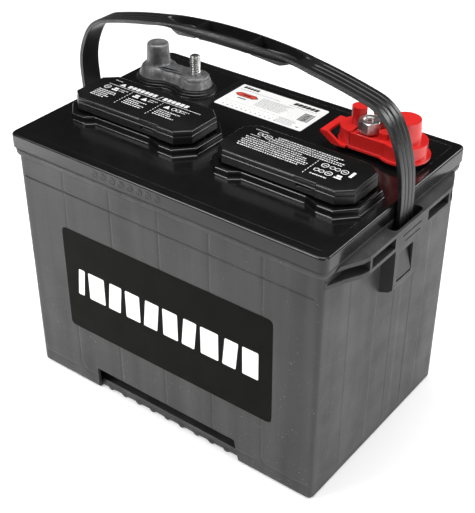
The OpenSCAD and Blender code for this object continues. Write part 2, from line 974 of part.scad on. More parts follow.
module separators(i) {
    color([0.85, 0.85, 0.8])
        translate([cell_x(i), 0, 0])
            for (k = [0 : pos_count - 1], step = [-sep_t, pos_t]) {
                x = pos_x(k) + step;
                span([x, -plate_w / 2 - 2, sep_z[0]], [x + sep_t, plate_w / 2 + 2, sep_z[1]]);
            }
}

// Lead slugs that join neighbouring cells through the partitions
module intercell_welds() {
    slug = partition_t + 0.2;
    color("slategray")
        for (i = [1 : cells - 1])
            translate([cell_x(i) + cell_pitch / 2 - slug / 2, -side_of(i) * term_y, weld_z])
                rotate([0, 90, 0])
                    cylinder(r = weld_r - fit_gap, h = slug);
}

case();
bracket_left();
bracket_right();
cover();
vent_cap_body(-1);  // vent_cap_left_body
vent_cap_top(-1);  // vent_cap_left_top
vent_cap_orings(-1);  // vent_cap_left_orings
vent_cap_discs(-1);  // vent_cap_left_discs
vent_cap_body(1);  // vent_cap_right_body
vent_cap_top(1);  // vent_cap_right_top
vent_cap_orings(1);  // vent_cap_right_orings
vent_cap_discs(1);  // vent_cap_right_discs
negative_terminal();
terminal_stud([-stud_x, term_y], stud_z);  // negative_stud
terminal_seal(-1, [0, 0, 0]);  // negative_seal
cell_post(-1);  // negative_cell_post
positive_terminal();
terminal_stud(pos_stud, pos_stud_z);  // positive_stud
terminal_seal(1, [2.7, 1.2, 3.7]);  // positive_seal
cell_post(1);  // positive_cell_post
terminal_cover();
stored_hex_nut();
stored_wing_nut();
handle();
front_label();
top_label();
intercell_welds();
positive_plates(1);  // positive_plates_1
negative_plates(1);  // negative_plates_1
separators(1);  // separators_1
positive_plates(2);  // positive_plates_2
negative_plates(2);  // negative_plates_2
separators(2);  // separators_2
positive_plates(3);  // positive_plates_3
negative_plates(3);  // negative_plates_3
separators(3);  // separators_3
positive_plates(4);  // positive_plates_4
negative_plates(4);  // negative_plates_4
separators(4);  // separators_4
positive_plates(5);  // positive_plates_5
negative_plates(5);  // negative_plates_5
separators(5);  // separators_5
positive_plates(6);  // positive_plates_6
negative_plates(6);  // negative_plates_6
separators(6);  // separators_6
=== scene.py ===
import json
import math
import random

import bmesh
import bpy
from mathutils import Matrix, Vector


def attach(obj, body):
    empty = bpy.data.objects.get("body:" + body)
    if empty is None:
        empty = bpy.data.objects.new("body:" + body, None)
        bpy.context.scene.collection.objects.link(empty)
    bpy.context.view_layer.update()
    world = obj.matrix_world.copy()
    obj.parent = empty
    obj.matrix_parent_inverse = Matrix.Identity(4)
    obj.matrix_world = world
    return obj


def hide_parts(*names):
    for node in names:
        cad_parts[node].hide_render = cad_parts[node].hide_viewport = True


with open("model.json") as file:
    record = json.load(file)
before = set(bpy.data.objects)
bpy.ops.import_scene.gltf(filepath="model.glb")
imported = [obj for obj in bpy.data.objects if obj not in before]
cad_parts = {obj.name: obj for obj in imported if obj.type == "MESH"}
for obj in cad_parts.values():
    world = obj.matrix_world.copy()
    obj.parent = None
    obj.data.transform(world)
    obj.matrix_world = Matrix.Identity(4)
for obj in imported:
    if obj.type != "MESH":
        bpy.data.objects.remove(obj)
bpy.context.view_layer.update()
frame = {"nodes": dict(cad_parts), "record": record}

MM = 0.001

# ---- dimensions, in millimetres

LID_L, LID_W, LID_Z, LID_UNDER = 259.6, 172.6, 200.0, 189.3
WALL_X, WALL_Y, WALL_T, DRAFT = 127.1, 83.6, 2.5, 1.0
CORNER_R = 6.0
CELL_PITCH, CELLS = 42.1, 6
POST_X, STUD_X, TERM_Y = 105.15, 69.8, 43.8
CAP_X = 1.5 * CELL_PITCH
WELL_Y, WELL_R = -19.5, 9.6


# ---- outlines

def arc(cx, cy, r, a0, a1, n):
    """Points on an arc, angles in degrees."""
    out = []
    for i in range(n + 1):
        a = math.radians(a0 + (a1 - a0) * i / n)
        out.append((cx + r * math.cos(a), cy + r * math.sin(a)))
    return out


def circle(cx, cy, r, n=48):
    return arc(cx, cy, r, 0, 360 * (n - 1) / n, n - 1)


def rounded(points, r, steps=5):
    """A polygon with its corners rounded. r is one radius, or one for each corner."""
    out = []
    count = len(points)
    radii = r if isinstance(r, (list, tuple)) else [r] * count
    for i, p in enumerate(points):
        a, b = Vector(points[i - 1]), Vector(points[(i + 1) % count])
        c = Vector(p)
        u, v = (a - c), (b - c)
        angle = u.angle(v)
        reach = min(radii[i] / math.tan(angle / 2), 0.49 * u.length, 0.49 * v.length)
        if radii[i] <= 0 or reach < 1e-4 or angle > math.pi - 0.01:
            out.append(tuple(c))
            continue
        s, e = c + u.normalized() * reach, c + v.normalized() * reach
        for k in range(steps + 1):
            t = k / steps
            out.append(tuple(s * (1 - t) ** 2 + c * (2 * t * (1 - t)) + e * t * t))
    return out


def winding(points):
    """1 for an anticlockwise outline, -1 for a clockwise one."""
    area = sum(a[0] * b[1] - b[0] * a[1] for a, b in zip(points, points[1:] + points[:1]))
    return 1 if area > 0 else -1


def mitred(points, d):
    """The outline moved outwards by d, its corners kept."""
    side = winding(points)
    out = []
    for i, p in enumerate(points):
        a, b, c = Vector(points[i - 1]), Vector(points[(i + 1) % len(points)]), Vector(p)
        e, f = (c - a).normalized(), (b - c).normalized()
        m, n = Vector((e.y, -e.x)) * side, Vector((f.y, -f.x)) * side
        out.append(tuple(c + (m + n) * (d / max(1 + m.dot(n), 0.32))))
    return out


class Poly:
    """A polygon with rounded corners that is offset before it is rounded."""

    def __init__(self, points, radii, steps=5):
        self.points = points
        self.radii = radii if isinstance(radii, (list, tuple)) else [radii] * len(points)
        self.steps = steps

    def ring(self, d=0.0):
        """Outer corners grow with the offset, inner corners shrink, and sharp corners stay sharp."""
        side = winding(self.points)
        radii = []
        for i, r in enumerate(self.radii):
            a, c, b = [Vector(self.points[k % len(self.points)]) for k in (i - 1, i, i + 1)]
            grown = r + (d if (c - a).cross(b - c) * side > 0 else -d)
            radii.append(max(grown, 0.04) if r > 0 else 0.0)
        return rounded(mitred(self.points, d), radii, self.steps)


def rect(x0, y0, x1, y1, r=0.0, steps=6):
    points = [(x0, y0), (x1, y0), (x1, y1), (x0, y1)]
    return rounded(points, r, steps) if r else points


def link(a, b, ra, rb, band, n=72, power=9):
    """Two discs and the band between them, blended into one smooth outline."""
    axis = Vector(b) - Vector(a)
    length = axis.length
    u = axis.normalized()
    v = Vector((-u.y, u.x))

    def half(x):
        ca = max(ra * ra - x * x, 0.0) ** 0.5
        cb = max(rb * rb - (x - length) ** 2, 0.0) ** 0.5
        mid = band if 0 <= x <= length else 0.0
        return (ca ** power + cb ** power + mid ** power) ** (1 / power)

    xs = [-ra * math.cos(math.pi / 2 * k / 14) for k in range(15)]
    xs += [length * k / n for k in range(1, n)]
    xs += [length + rb * math.sin(math.pi / 2 * k / 14) for k in range(15)]
    lower = [(x, -half(x)) for x in xs]
    upper = [(x, half(x)) for x in reversed(xs[1:-1])]
    return [tuple(Vector(a) + u * x + v * y) for x, y in lower + upper]


# ---- meshes

def new_object(name, bm, smooth=35):
    bmesh.ops.recalc_face_normals(bm, faces=bm.faces)
    mesh = bpy.data.meshes.new(name)
    bm.to_mesh(mesh)
    bm.free()
    obj = bpy.data.objects.new(name, mesh)
    bpy.context.scene.collection.objects.link(obj)
    if smooth:
        mesh.shade_smooth()
        mesh.set_sharp_from_angle(angle=math.radians(smooth))
    return obj


def place(u, v, w, plane):
    """A point in metres: u and v in the drawing plane, w along its normal."""
    if plane == "XY":
        return (u * MM, v * MM, w * MM)
    if plane == "XZ":
        return (u * MM, w * MM, v * MM)
    return (w * MM, u * MM, v * MM)


def offset_outline(points, d):
    if isinstance(points, Poly):
        return points.ring(d)
    return mitred(points, d) if d else list(points)


def skin(bm, rings, loop=False):
    """Faces between neighbouring rings; the ends are capped, or joined to each other."""
    count = len(rings[0])
    for lower, upper in zip(rings, rings[1:] + rings[:1] if loop else rings[1:]):
        for i in range(count):
            j = (i + 1) % count
            bm.faces.new((lower[i], lower[j], upper[j], upper[i]))
    if not loop:
        bm.faces.new(rings[0])
        bm.faces.new(rings[-1])


def add_loft(bm, outline, profile, plane="XY", move=None, loop=False):
    """Rings of the outline, each offset by the first number at the height of the second."""
    rings = []
    for offset, w in profile:
        ring = []
        for u, v in offset_outline(outline, offset):
            point = place(u, v, w, plane)
            if move:
                point = tuple(c * MM for c in move(*(c / MM for c in point)))
            ring.append(bm.verts.new(point))
        rings.append(ring)
    skin(bm, rings, loop)


def loft(name, outline, profile, plane="XY", move=None, smooth=35, loop=False):
    bm = bmesh.new()
    add_loft(bm, outline, profile, plane, move, loop)
    return new_object(name, bm, smooth)


def soft_slab(w0, w1, edge, steps=3):
    """A loft profile for a slab from w0 to w1 with both edges rounded."""
    out = []
    for k in range(steps + 1):
        a = math.pi / 2 * k / steps
        out.append((-edge * (1 - math.sin(a)), w0 + edge * (1 - math.cos(a))))
    for k in range(steps + 1):
        a = math.pi / 2 * k / steps
        out.append((-edge * (1 - math.cos(a)), w1 - edge * (1 - math.sin(a))))
    return out


def add_lathe(bm, profile, cx, cy, n=64, radius=None, loop=False):
    """A profile of (radius, z) turned about an upright axis, closed at radius 0 or end to end."""
    rings = []
    for r, z in profile:
        if r < 1e-6:
            rings.append([bm.verts.new((cx * MM, cy * MM, z * MM))])
            continue
        ring = []
        for k in range(n):
            a = 2 * math.pi * k / n
            rr = radius(r, a, z) if radius else r
            ring.append(bm.verts.new(((cx + rr * math.cos(a)) * MM, (cy + rr * math.sin(a)) * MM, z * MM)))
        rings.append(ring)
    for a, b in zip(rings, rings[1:] + rings[:1] if loop else rings[1:]):
        for k in range(n):
            j = (k + 1) % n
            if len(a) == 1:
                bm.faces.new((a[0], b[j], b[k]))
            elif len(b) == 1:
                bm.faces.new((a[k], a[j], b[0]))
            else:
                bm.faces.new((a[k], a[j], b[j], b[k]))


def lathe(name, profile, cx, cy, n=64, radius=None, smooth=35, loop=False):
    bm = bmesh.new()
    add_lathe(bm, profile, cx, cy, n, radius, loop)
    return new_object(name, bm, smooth)


def baked(obj):
    """Applies an object's modifiers."""
    graph = bpy.context.evaluated_depsgraph_get()
    mesh = bpy.data.meshes.new_from_object(obj.evaluated_get(graph))
    old = obj.data
    obj.modifiers.clear()
    obj.data = mesh
    bpy.data.meshes.remove(old)


def boolean(obj, tools, operation="DIFFERENCE"):
    for tool in tools:
        mod = obj.modifiers.new("cut", "BOOLEAN")
        mod.operation = operation
        mod.solver = "EXACT"
        mod.object = tool
        bpy.context.view_layer.update()
        baked(obj)
        bpy.data.objects.remove(tool)


def soften(obj, width, segments=2, angle=40, smooth=50):
    """Rounds an object's sharp edges."""
    mod = obj.modifiers.new("soften", "BEVEL")
    mod.width = width * MM
    mod.segments = segments
    mod.limit_method = "ANGLE"
    mod.angle_limit = math.radians(angle)
    mod.use_clamp_overlap = True
    bpy.context.view_layer.update()
    baked(obj)
    obj.data.shade_smooth()
    obj.data.set_sharp_from_angle(angle=math.radians(smooth))


def bar(outline, near, far, plane="XY"):
    """A straight bar of the outline's section, such as a cutter."""
    return loft("bar", outline, [(0, near), (0, far)], plane)


def joined(name, objects):
    bm = bmesh.new()
    for o in objects:
        bm.from_mesh(o.data)
        bpy.data.objects.remove(o)
    return new_object(name, bm)


# ---- materials

def shader(name, color, rough, metallic=0.0, coat=0.0, specular=0.5):
    mat = bpy.data.materials.new(name)
    mat.use_nodes = True
    bsdf = mat.node_tree.nodes["Principled BSDF"]
    values = {
        "Base Color": (*color, 1), "Roughness": rough, "Metallic": metallic, "Coat Weight": coat,
        "Coat Roughness": 0.1, "Specular IOR Level": specular}
    for socket, value in values.items():
        bsdf.inputs[socket].default_value = value
    return mat, mat.node_tree, bsdf


def noise(tree, scale, detail=4.0, stretch=(1, 1, 1), rough=0.55):
    """Noise over the object's own coordinates; scale is in cycles per metre."""
    coord = tree.nodes.new("ShaderNodeTexCoord")
    mapping = tree.nodes.new("ShaderNodeMapping")
    mapping.inputs["Scale"].default_value = stretch
    tex = tree.nodes.new("ShaderNodeTexNoise")
    tex.inputs["Scale"].default_value = scale
    tex.inputs["Detail"].default_value = detail
    tex.inputs["Roughness"].default_value = rough
    tree.links.new(coord.outputs["Object"], mapping.inputs["Vector"])
    tree.links.new(mapping.outputs["Vector"], tex.inputs["Vector"])
    return tex.outputs["Fac"]


def ramp(tree, fac, stops):
    """A colour ramp; stops are (position, grey or colour)."""
    node = tree.nodes.new("ShaderNodeValToRGB")
    while len(node.color_ramp.elements) < len(stops):
        node.color_ramp.elements.new(0.5)
    for element, (position, value) in zip(node.color_ramp.elements, stops):
        element.position = position
        rgb = value if isinstance(value, (tuple, list)) else (value, value, value)
        element.color = (*rgb, 1)
    tree.links.new(fac, node.inputs["Fac"])
    return node.outputs["Color"]


def mix(tree, fac, a, b, blend="MIX"):
    node = tree.nodes.new("ShaderNodeMix")
    node.data_type = "RGBA"
    node.blend_type = blend
    for socket, value in ((node.inputs[0], fac), (node.inputs[6], a), (node.inputs[7], b)):
        if isinstance(value, (int, float)):
            socket.default_value = value
        elif isinstance(value, tuple):
            socket.default_value = (*value, 1)
        else:
            tree.links.new(value, socket)
    return node.outputs[2]


def bump(tree, bsdf, layers):
    """Stacks bump layers of (height socket, strength, distance in metres)."""
    last = None
    for height, strength, distance in layers:
        node = tree.nodes.new("ShaderNodeBump")
        node.inputs["Strength"].default_value = strength
        node.inputs["Distance"].default_value = distance
        tree.links.new(height, node.inputs["Height"])
        if last:
            tree.links.new(last, node.inputs["Normal"])
        last = node.outputs["Normal"]
    tree.links.new(last, bsdf.inputs["Normal"])


def tint(color, k):
    return tuple(min(1.0, c * k) for c in color)


def moulded(name, color, rough, grain_depth=0.00004, mottle=0.12, specks=0.0, streaks=0.0, coat=0.0,
            spread=0.08, specular=0.5):
    """Moulded plastic: fine grain, cloudy colour, uneven gloss and optional flow streaks and specks."""
    mat, tree, bsdf = shader(name, color, rough, coat=coat, specular=specular)
    cloud = noise(tree, 28, 5)
    base = ramp(tree, cloud, [(0.25, tint(color, 1 - mottle)), (0.75, tint(color, 1 + mottle))])
    if streaks:
        flow = noise(tree, 60, 3, (1.0, 1.0, 0.05))
        flow_tone = ramp(tree, flow, [(0.35, 1 - streaks), (0.65, 1 + streaks)])
        base = mix(tree, 1.0, base, flow_tone, "MULTIPLY")
    if specks:
        dots = ramp(tree, noise(tree, 900, 2), [(0.70, 0.0), (0.76, specks)])
        scuffs = ramp(tree, noise(tree, 70, 8, (1, 1, 0.6), 0.75), [(0.66, 0.0), (0.80, specks * 0.6)])
        wear = mix(tree, 1.0, dots, scuffs, "ADD")
        base = mix(tree, wear, base, (0.55, 0.55, 0.54))
    tree.links.new(base, bsdf.inputs["Base Color"])
    patches = ramp(tree, noise(tree, 45, 6), [(0.3, max(rough - spread, 0.03)), (0.7, rough + spread)])
    tree.links.new(patches, bsdf.inputs["Roughness"])
    bump(tree, bsdf, [(noise(tree, 2600, 2), 0.5, grain_depth), (noise(tree, 90, 2), 0.25, 0.00005)])
    return mat


def metal(name, color, rough, depth, mottle=0.2, metallic=1.0, dark=0.4):
    """Cast or plated metal: mottled tone, rough patches and a fine uneven surface."""
    mat, tree, bsdf = shader(name, color, rough, metallic=metallic)
    scale = 220
    tone = ramp(tree, noise(tree, scale, 8, rough=0.7),
                [(0.28, tint(color, dark)), (0.5, color), (0.75, tint(color, 1 + mottle))])
    tree.links.new(tone, bsdf.inputs["Base Color"])
    patches = ramp(tree, noise(tree, scale * 0.6, 6), [(0.3, max(rough - 0.12, 0.05)), (0.7, rough + 0.15)])
    tree.links.new(patches, bsdf.inputs["Roughness"])
    fine, coarse = noise(tree, scale * 4, 4), noise(tree, scale * 0.7, 3)
    bump(tree, bsdf, [(fine, 0.6, depth), (coarse, 0.5, depth * 3)])
    return mat


def printed(name, color, rough, fibre=0.04, specular=0.4):
    """Printed film or ink: an even tone with a faint fibre and a slight wave."""
    mat, tree, bsdf = shader(name, color, rough, specular=specular)
    tone = ramp(tree, noise(tree, 400, 4), [(0.3, tint(color, 1 - fibre)), (0.7, tint(color, 1 + fibre))])
    tree.links.new(tone, bsdf.inputs["Base Color"])
    patches = ramp(tree, noise(tree, 60, 3), [(0.3, rough - 0.06), (0.7, rough + 0.06)])
    tree.links.new(patches, bsdf.inputs["Roughness"])
    bump(tree, bsdf, [(noise(tree, 90, 2), 0.25, 0.00006)])
    return mat


CASE = moulded("case_polypropylene", (0.044, 0.044, 0.044), 0.42, mottle=0.12, specks=0.4, streaks=0.2,
               specular=0.26)
LID = moulded("lid_polypropylene", (0.005, 0.005, 0.005), 0.2, mottle=0.15, specks=0.12,
              grain_depth=0.00001, spread=0.06)
CAP = moulded("cap_plastic", (0.006, 0.006, 0.006), 0.3, mottle=0.15, specks=0.08, grain_depth=0.00003)
STRAP = moulded("handle_plastic", (0.01, 0.01, 0.01), 0.32, mottle=0.15, specks=0.1, grain_depth=0.00002)
RED = moulded("red_plastic", (0.66, 0.018, 0.016), 0.34, mottle=0.06, grain_depth=0.00001, coat=0.2)
SEAL = moulded("gasket_rubber", (0.009, 0.009, 0.009), 0.34, mottle=0.2, grain_depth=0.00003)
LEAD = metal("cast_lead", (0.23, 0.23, 0.235), 0.46, 0.00006, metallic=0.75, dark=0.45)
STEEL = metal("plated_steel", (0.52, 0.52, 0.51), 0.36, 0.00002, mottle=0.2, dark=0.5)
DISC = moulded("porous_disc", (0.7, 0.7, 0.68), 0.85, grain_depth=0.0001)
FILM_BLACK = printed("black_film", (0.004, 0.004, 0.0032), 0.5, specular=0.05)
FILM_WHITE = printed("white_film", (0.8, 0.8, 0.795), 0.4)
INK_WHITE = printed("white_ink", (0.93, 0.93, 0.93), 0.45)
INK_GREY = printed("grey_ink", (0.3, 0.3, 0.3), 0.5)
INK_BLACK = printed("black_ink", (0.012, 0.012, 0.012), 0.5)
INK_RED = printed("red_ink", (0.6, 0.05, 0.03), 0.45)
PLATE_POS = metal("positive_paste", (0.1, 0.045, 0.03), 0.8, 0.0001, metallic=0.0)
PLATE_NEG = metal("negative_paste", (0.2, 0.21, 0.22), 0.7, 0.0001, metallic=0.3)
SEPARATOR = printed("separator_sheet", (0.7, 0.7, 0.62), 0.7)


def piece(obj, name, body, slot, mat, *nodes):
    """Names a piece, gives it its material and body, and says which CAD nodes it stands for."""
    obj.name = name
    obj.data.name = name
    mod = obj.modifiers.new("flat_faces", "WEIGHTED_NORMAL")
    mod.keep_sharp = True
    mod.weight = 100
    obj.data.materials.clear()
    obj.data.materials.append(mat)
    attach(obj, body)
    if nodes:
        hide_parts(*nodes)


def made(bm, name, body, slot, mat, *nodes):
    """Turns a finished mesh into a named piece."""
    piece(new_object(name, bm), name, body, slot, mat, *nodes)


# ---- case

def smoothstep(x, a, b):
    t = min(max((x - a) / (b - a), 0.0), 1.0)
    return t * t * (3 - 2 * t)


def bell(x, width):
    return math.exp(-(x / width) ** 2)


PANEL_LOW, PANEL_ROUND, PANEL_DEPTH = 11.0, 7.0, 0.32
SEAM_Z, SEAM_HALF, SEAM_DEPTH = 167.2, 122.0, 0.75
END_STEPS = [-50.0, -15.5, 7.7, 18.0, 32.3, 52.4]


def wall_relief(x, y, z):
    """Sinks the partition lines and the groove into the long walls, and the streak steps into the ends."""
    if z < 4 or z > 184:
        return x, y, z
    if abs(y) > 79 and abs(x) < 123:
        cell = (x + 3 * CELL_PITCH) % CELL_PITCH
        edge = min(cell, CELL_PITCH - cell)
        inside = min(edge, z - PANEL_LOW)
        if edge < PANEL_ROUND and z - PANEL_LOW < PANEL_ROUND:
            inside = PANEL_ROUND - math.hypot(PANEL_ROUND - edge, PANEL_ROUND - z + PANEL_LOW)
        outer = abs(x) > 2.5 * CELL_PITCH
        relief = PANEL_DEPTH * bell(inside, 0.9) * (0 if outer and edge < 2 else 1)
        relief += SEAM_DEPTH * bell(z - SEAM_Z, 0.55) * (1 - smoothstep(abs(x), SEAM_HALF - 1, SEAM_HALF))
        y -= math.copysign(relief, y)
    if abs(x) > 122 and abs(y) < 80:
        steps = [0.22 * smoothstep(y, s - 0.6, s + 0.6) for s in END_STEPS]
        sink = sum(steps[1::2]) - sum(steps[0::2])
        fade = smoothstep(z, 4, 12) * (1 - smoothstep(z, 168, 174))
        x -= math.copysign(0.25 + sink * fade, x)
    return x, y, z


def case_profile():
    """Outside from the foot up over the bead, and back down the inside."""
    foot_r = 2.6
    steps = 5
    out = []
    for k in range(steps + 1):
        a = math.pi / 2 * k / steps
        out.append((-DRAFT - foot_r * (1 - math.sin(a)), foot_r * (1 - math.cos(a))))
    z = 4.0
    while z < 182.6:
        out.append((-DRAFT * (1 - z / LID_UNDER), z))
        z += 0.4 if abs(z - SEAM_Z) < 2.2 or abs(z - PANEL_LOW) < 2.2 else 1.6
    out += [(0.0, 182.7), (0.5, 183.2), (1.3, 183.7), (1.9, 184.5), (2.25, 185.5), (2.35, 186.6),
            (2.35, 188.0), (2.1, 188.5), (1.7, 188.75), (-0.1, 188.8), (-0.1, LID_UNDER)]
    out += [(-WALL_T, LID_UNDER), (-WALL_T - DRAFT, 4.0)]
    return out


def case_outline():
    """The wall's outline, with points close together where the relief is."""
    lines = [(i - 3) * CELL_PITCH for i in range(1, CELLS)]
    base = rect(-WALL_X, -WALL_Y, WALL_X, WALL_Y, CORNER_R, 8)
    points = []
    for p, q in zip(base, base[1:] + base[:1]):
        points.append(p)
        length = math.dist(p, q)
        if length < 20:
            continue
        along, stops = (0, lines) if abs(p[1] - q[1]) < 1 else (1, END_STEPS)
        s = 0.0
        while True:
            at = p[along] + (q[along] - p[along]) * (s / length)
            s += 0.35 if min(abs(at - line) for line in stops) < 1.6 else 1.7
            if s >= length - 0.2:
                break
            t = s / length
            points.append((p[0] + (q[0] - p[0]) * t, p[1] + (q[1] - p[1]) * t))
    return points


RECESS_X0, RECESS_X1, RECESS_SLOPE, RECESS_TOP, RECESS_FACE = -67.4, 61.2, 4.3, 18.9, 77.6


def recess_cutter(side):
    outline = [(RECESS_X0, -1), (RECESS_X1 + RECESS_SLOPE, -1), (RECESS_X1, RECESS_TOP),
               (RECESS_X0, RECESS_TOP)]
    return bar(rounded(outline, [0, 0, 1.2, 1.2], 4), side * RECESS_FACE, side * 95, "XZ")


def make_case():
    shell = loft("case_shell", case_outline(), case_profile(), move=wall_relief)
    boolean(shell, [recess_cutter(-1), recess_cutter(1)])
    piece(shell, "case_shell", "battery", "case_plastic", CASE, "case")
    shell.data.shade_smooth()
    shell.data.set_sharp_from_angle(angle=math.radians(38))
    bm = bmesh.new()
    rib_end, wall_end = WALL_X - WALL_T - 1.2, WALL_Y - WALL_T - 0.9
    for i in range(1, CELLS):
        x = (i - 3) * CELL_PITCH
        add_loft(bm, rect(x - 0.9, -wall_end, x + 0.9, wall_end), [(0, 20), (0, LID_UNDER)])
    for y in (-60, -20, 20, 60):
        add_loft(bm, rect(-rib_end, y - 1.5, rib_end, y + 1.5), [(0, 4.2), (0, 16)])
    made(bm, "case_partitions", "battery", "case_plastic", CASE)


TEETH, TOOTH_X0, TOOTH_PITCH, TOOTH_R = 9, -58.1, 13.76, 2.4


def make_ledges():
    """The hold-down ledge and its half-round teeth, at the foot of both long walls."""
    for side, name in ((-1, "front_ledge"), (1, "back_ledge")):
        bm = bmesh.new()
        face, out = side * (RECESS_FACE - 0.3), side * (RECESS_FACE + 1.7)
        section = [(face, 1.4), (out, 1.4), (out, 4.2), (face, 6.2)]
        add_loft(bm, rounded(section, 0.4, 3), [(0, RECESS_X0), (0, RECESS_X1)], "YZ")
        for i in range(TEETH):
            x = TOOTH_X0 + i * TOOTH_PITCH
            tooth = arc(x, TOOTH_R + 0.6, TOOTH_R + 0.55, 180, 360, 12)
            w0, w1 = sorted((face, out + side * 0.4))
            add_loft(bm, tooth, soft_slab(w0, w1, 0.35, 2), "XZ")
        made(bm, name, "battery", "case_plastic", CASE)


# ---- end brackets

BRACKET_Z0, BRACKET_Z1, BRACKET_OUT = 174.3, 187.3, 139.2
BRACKET_PLAN = [(122, 80.5), (126.8, 80.5), (129.8, 73), (132.2, 66.8), (137.7, 56.4), (BRACKET_OUT, 50)]


def make_bracket(side, name, node):
    """Shelf with pockets, strap slot and clip housing."""
    def mirrored(points):
        return [(side * u, v) for u, v in points]

    plan = BRACKET_PLAN + [(x, -y) for x, y in reversed(BRACKET_PLAN)]
    radii = [0, 0, 2, 3, 8, 10, 10, 8, 3, 2, 0, 0]
    body = bar(mirrored(rounded(plan, radii, 4)), BRACKET_Z0, BRACKET_Z1)
    flank = [(82, 173), (82, 178.4), (78, 180.7), (70, 188)]
    flank = [(-82, 173)] + flank + [(-y, z) for y, z in reversed(flank[1:])]
    boolean(body, [bar(flank, side * 100, side * 150, "YZ")], "INTERSECT")
    section = [(122, 133), (133.4, 137), (136.2, 139.6), (136.2, 175.3), (122, 175.3)]
    section = mirrored(rounded(section, [0, 1, 2.5, 0, 0], 5))
    boolean(body, [bar(section, -13.4, 13.4, "XZ")], "UNION")

    def bored(outline, near, far):
        """A cutter along X, from near to far on this bracket's side."""
        return bar(outline, *sorted((side * near, side * far)), "YZ")

    cutters = []
    for y0, y1 in ((20.4, 47.9), (50.1, 79.0)):
        for s in (-1, 1):
            lo, hi = sorted((s * y0, s * y1))
            cutters.append(bored(rect(lo, 177.05, hi, 184.55, 0.8, 3), 126.2, 150))
    cutters.append(bar(mirrored(rect(129, -18, 137.4, 18, 4.1, 8)), 177, 190))
    cutters.append(bar(mirrored(rect(129, -9.5, 134.7, 9.5)), 143.7, 180))
    cutters.append(bored(rect(-9.1, 143.7, 9.1, 166, 0.9, 4), 130, 140))
    for z, y0, y1 in ((181.5, -11.4, 11.7), (176.5, -8.0, 10.2)):
        cutters.append(bored(rect(y0, z - 0.55, y1, z + 0.55, 0.5, 3), BRACKET_OUT - 0.45, 150))
    boolean(body, cutters)
    soften(body, 0.35, 2, 35)
    piece(body, name, "battery", "case_plastic", CASE, node)


# ---- lid

def lid_profile():
    return [(-5.4, 196.5), (-5.4, LID_UNDER), (-0.35, LID_UNDER), (-0.1, 189.45), (0.0, 189.9),
            (0.0, 198.2), (-0.12, 198.9), (-0.45, 199.45), (-0.95, 199.85), (-1.6, 200.0)]


PLATFORM_X, PLATFORM_Y0, PLATFORM_Y1, PLATFORM_Z = 56.6, -45.8, 6.0, 205.0


def platform_outline(cx):
    x, y0, y1 = PLATFORM_X, PLATFORM_Y0, PLATFORM_Y1
    points = [(-x, y0 + 12), (-x + 11.2, y0), (-34, y0), (-28, y0 + 4.6), (22, y0 + 4.6), (33, y0),
              (x - 11.2, y0), (x, y0 + 12), (x, y1 - 12), (x - 11.2, y1), (-x + 11.2, y1), (-x, y1 - 12)]
    radii = [1.6, 1.6, 3.5, 4, 6, 6, 1.6, 1.6, 1.6, 1.6, 1.6, 1.6]
    return Poly([(cx + px, py) for px, py in points], radii, 6)


def well_cutters(centres, z0, z1):
    return [bar(circle(x, WELL_Y, WELL_R, 64), z0, z1) for x in centres]


def make_lid():
    cells = [(i - 3.5) * CELL_PITCH for i in range(1, CELLS + 1)]
    x, y = LID_L / 2, LID_W / 2
    corners = [(-x, -y), (x, -y), (x, y), (-x, y)]
    lid = loft("lid", Poly(corners, CORNER_R, 8), lid_profile())
    groove = [(-7.0, 199.82), (-6.8, 201), (-7.4, 201), (-7.2, 199.82)]
    line = loft("line", Poly(corners, CORNER_R + 2, 8), groove, loop=True)
    boolean(lid, [line] + well_cutters(cells, 190, 210))
    piece(lid, "lid", "battery", "lid_plastic", LID, "cover")
    profile = [(1.6, 199.9), (0.9, 200.15), (0.35, 200.7), (0.1, 201.6), (0.0, 203.6), (-0.2, 204.3),
               (-0.7, 204.85), (-1.3, PLATFORM_Z), (-3.6, PLATFORM_Z), (-4.2, 204.7), (-5.0, 204.7)]
    for side, name in ((-1, "vent_platform_left"), (1, "vent_platform_right")):
        base = loft(name, platform_outline(side * CAP_X), profile)
        boolean(base, well_cutters([side * CAP_X + k * CELL_PITCH for k in (-1, 0, 1)], 195, 210))
        piece(base, name, "battery", "lid_plastic", LID)
    bm = bmesh.new()
    tube = [(WELL_R + 2.4, 196.8), (WELL_R + 2.4, 181), (WELL_R, 181), (WELL_R, 204.7),
            (WELL_R + 1.2, 204.7), (WELL_R + 1.2, 196.8)]
    for x in cells:
        add_lathe(bm, tube, x, WELL_Y, 48, loop=True)
    made(bm, "vent_wells", "battery", "lid_plastic", LID)


DATE_MARKS, DATE_X0, DATE_PITCH = 8, -50.5, 7.7


def make_lid_marks():
    """Faint raised lines behind the caps and a row of small moulded date marks on the front lip."""
    bm = bmesh.new()
    for x in (-52.6, -49.4, 49.4, 52.6):
        add_loft(bm, rect(x - 0.35, 22, x + 0.35, 78, 0.3, 2), [(0, 199.9), (0, 200.08), (-0.15, 200.14)])
    y, z = -LID_W / 2, 194.3
    crater = [(0, y + 0.1), (0, y - 0.1), (-0.3, y - 0.2), (-0.75, y - 0.2), (-1.0, y - 0.02)]
    for i in range(DATE_MARKS):
        x = DATE_X0 + i * DATE_PITCH
        add_loft(bm, circle(x, z, 2.9, 28), crater, "XZ")
        bar = rect(x - 0.4, z - 1.5, x + 0.4, z + 1.5, 0.2, 2) if i % 2 else circle(x, z, 0.8, 12)
        add_loft(bm, bar, [(0, y + 0.1), (0, y - 0.1), (-0.1, y - 0.19)], "XZ")
    made(bm, "lid_marks", "battery", "lid_plastic", LID)


# ---- gang caps

CAP_HALF, CAP_Y0, CAP_Y1, CAP_Z0, CAP_SEAM, CAP_Z1 = 52.3, -41.0, 2.0, 206.5, 212.3, 216.0
PRY_X0, PRY_X1 = 12.7, 28.5


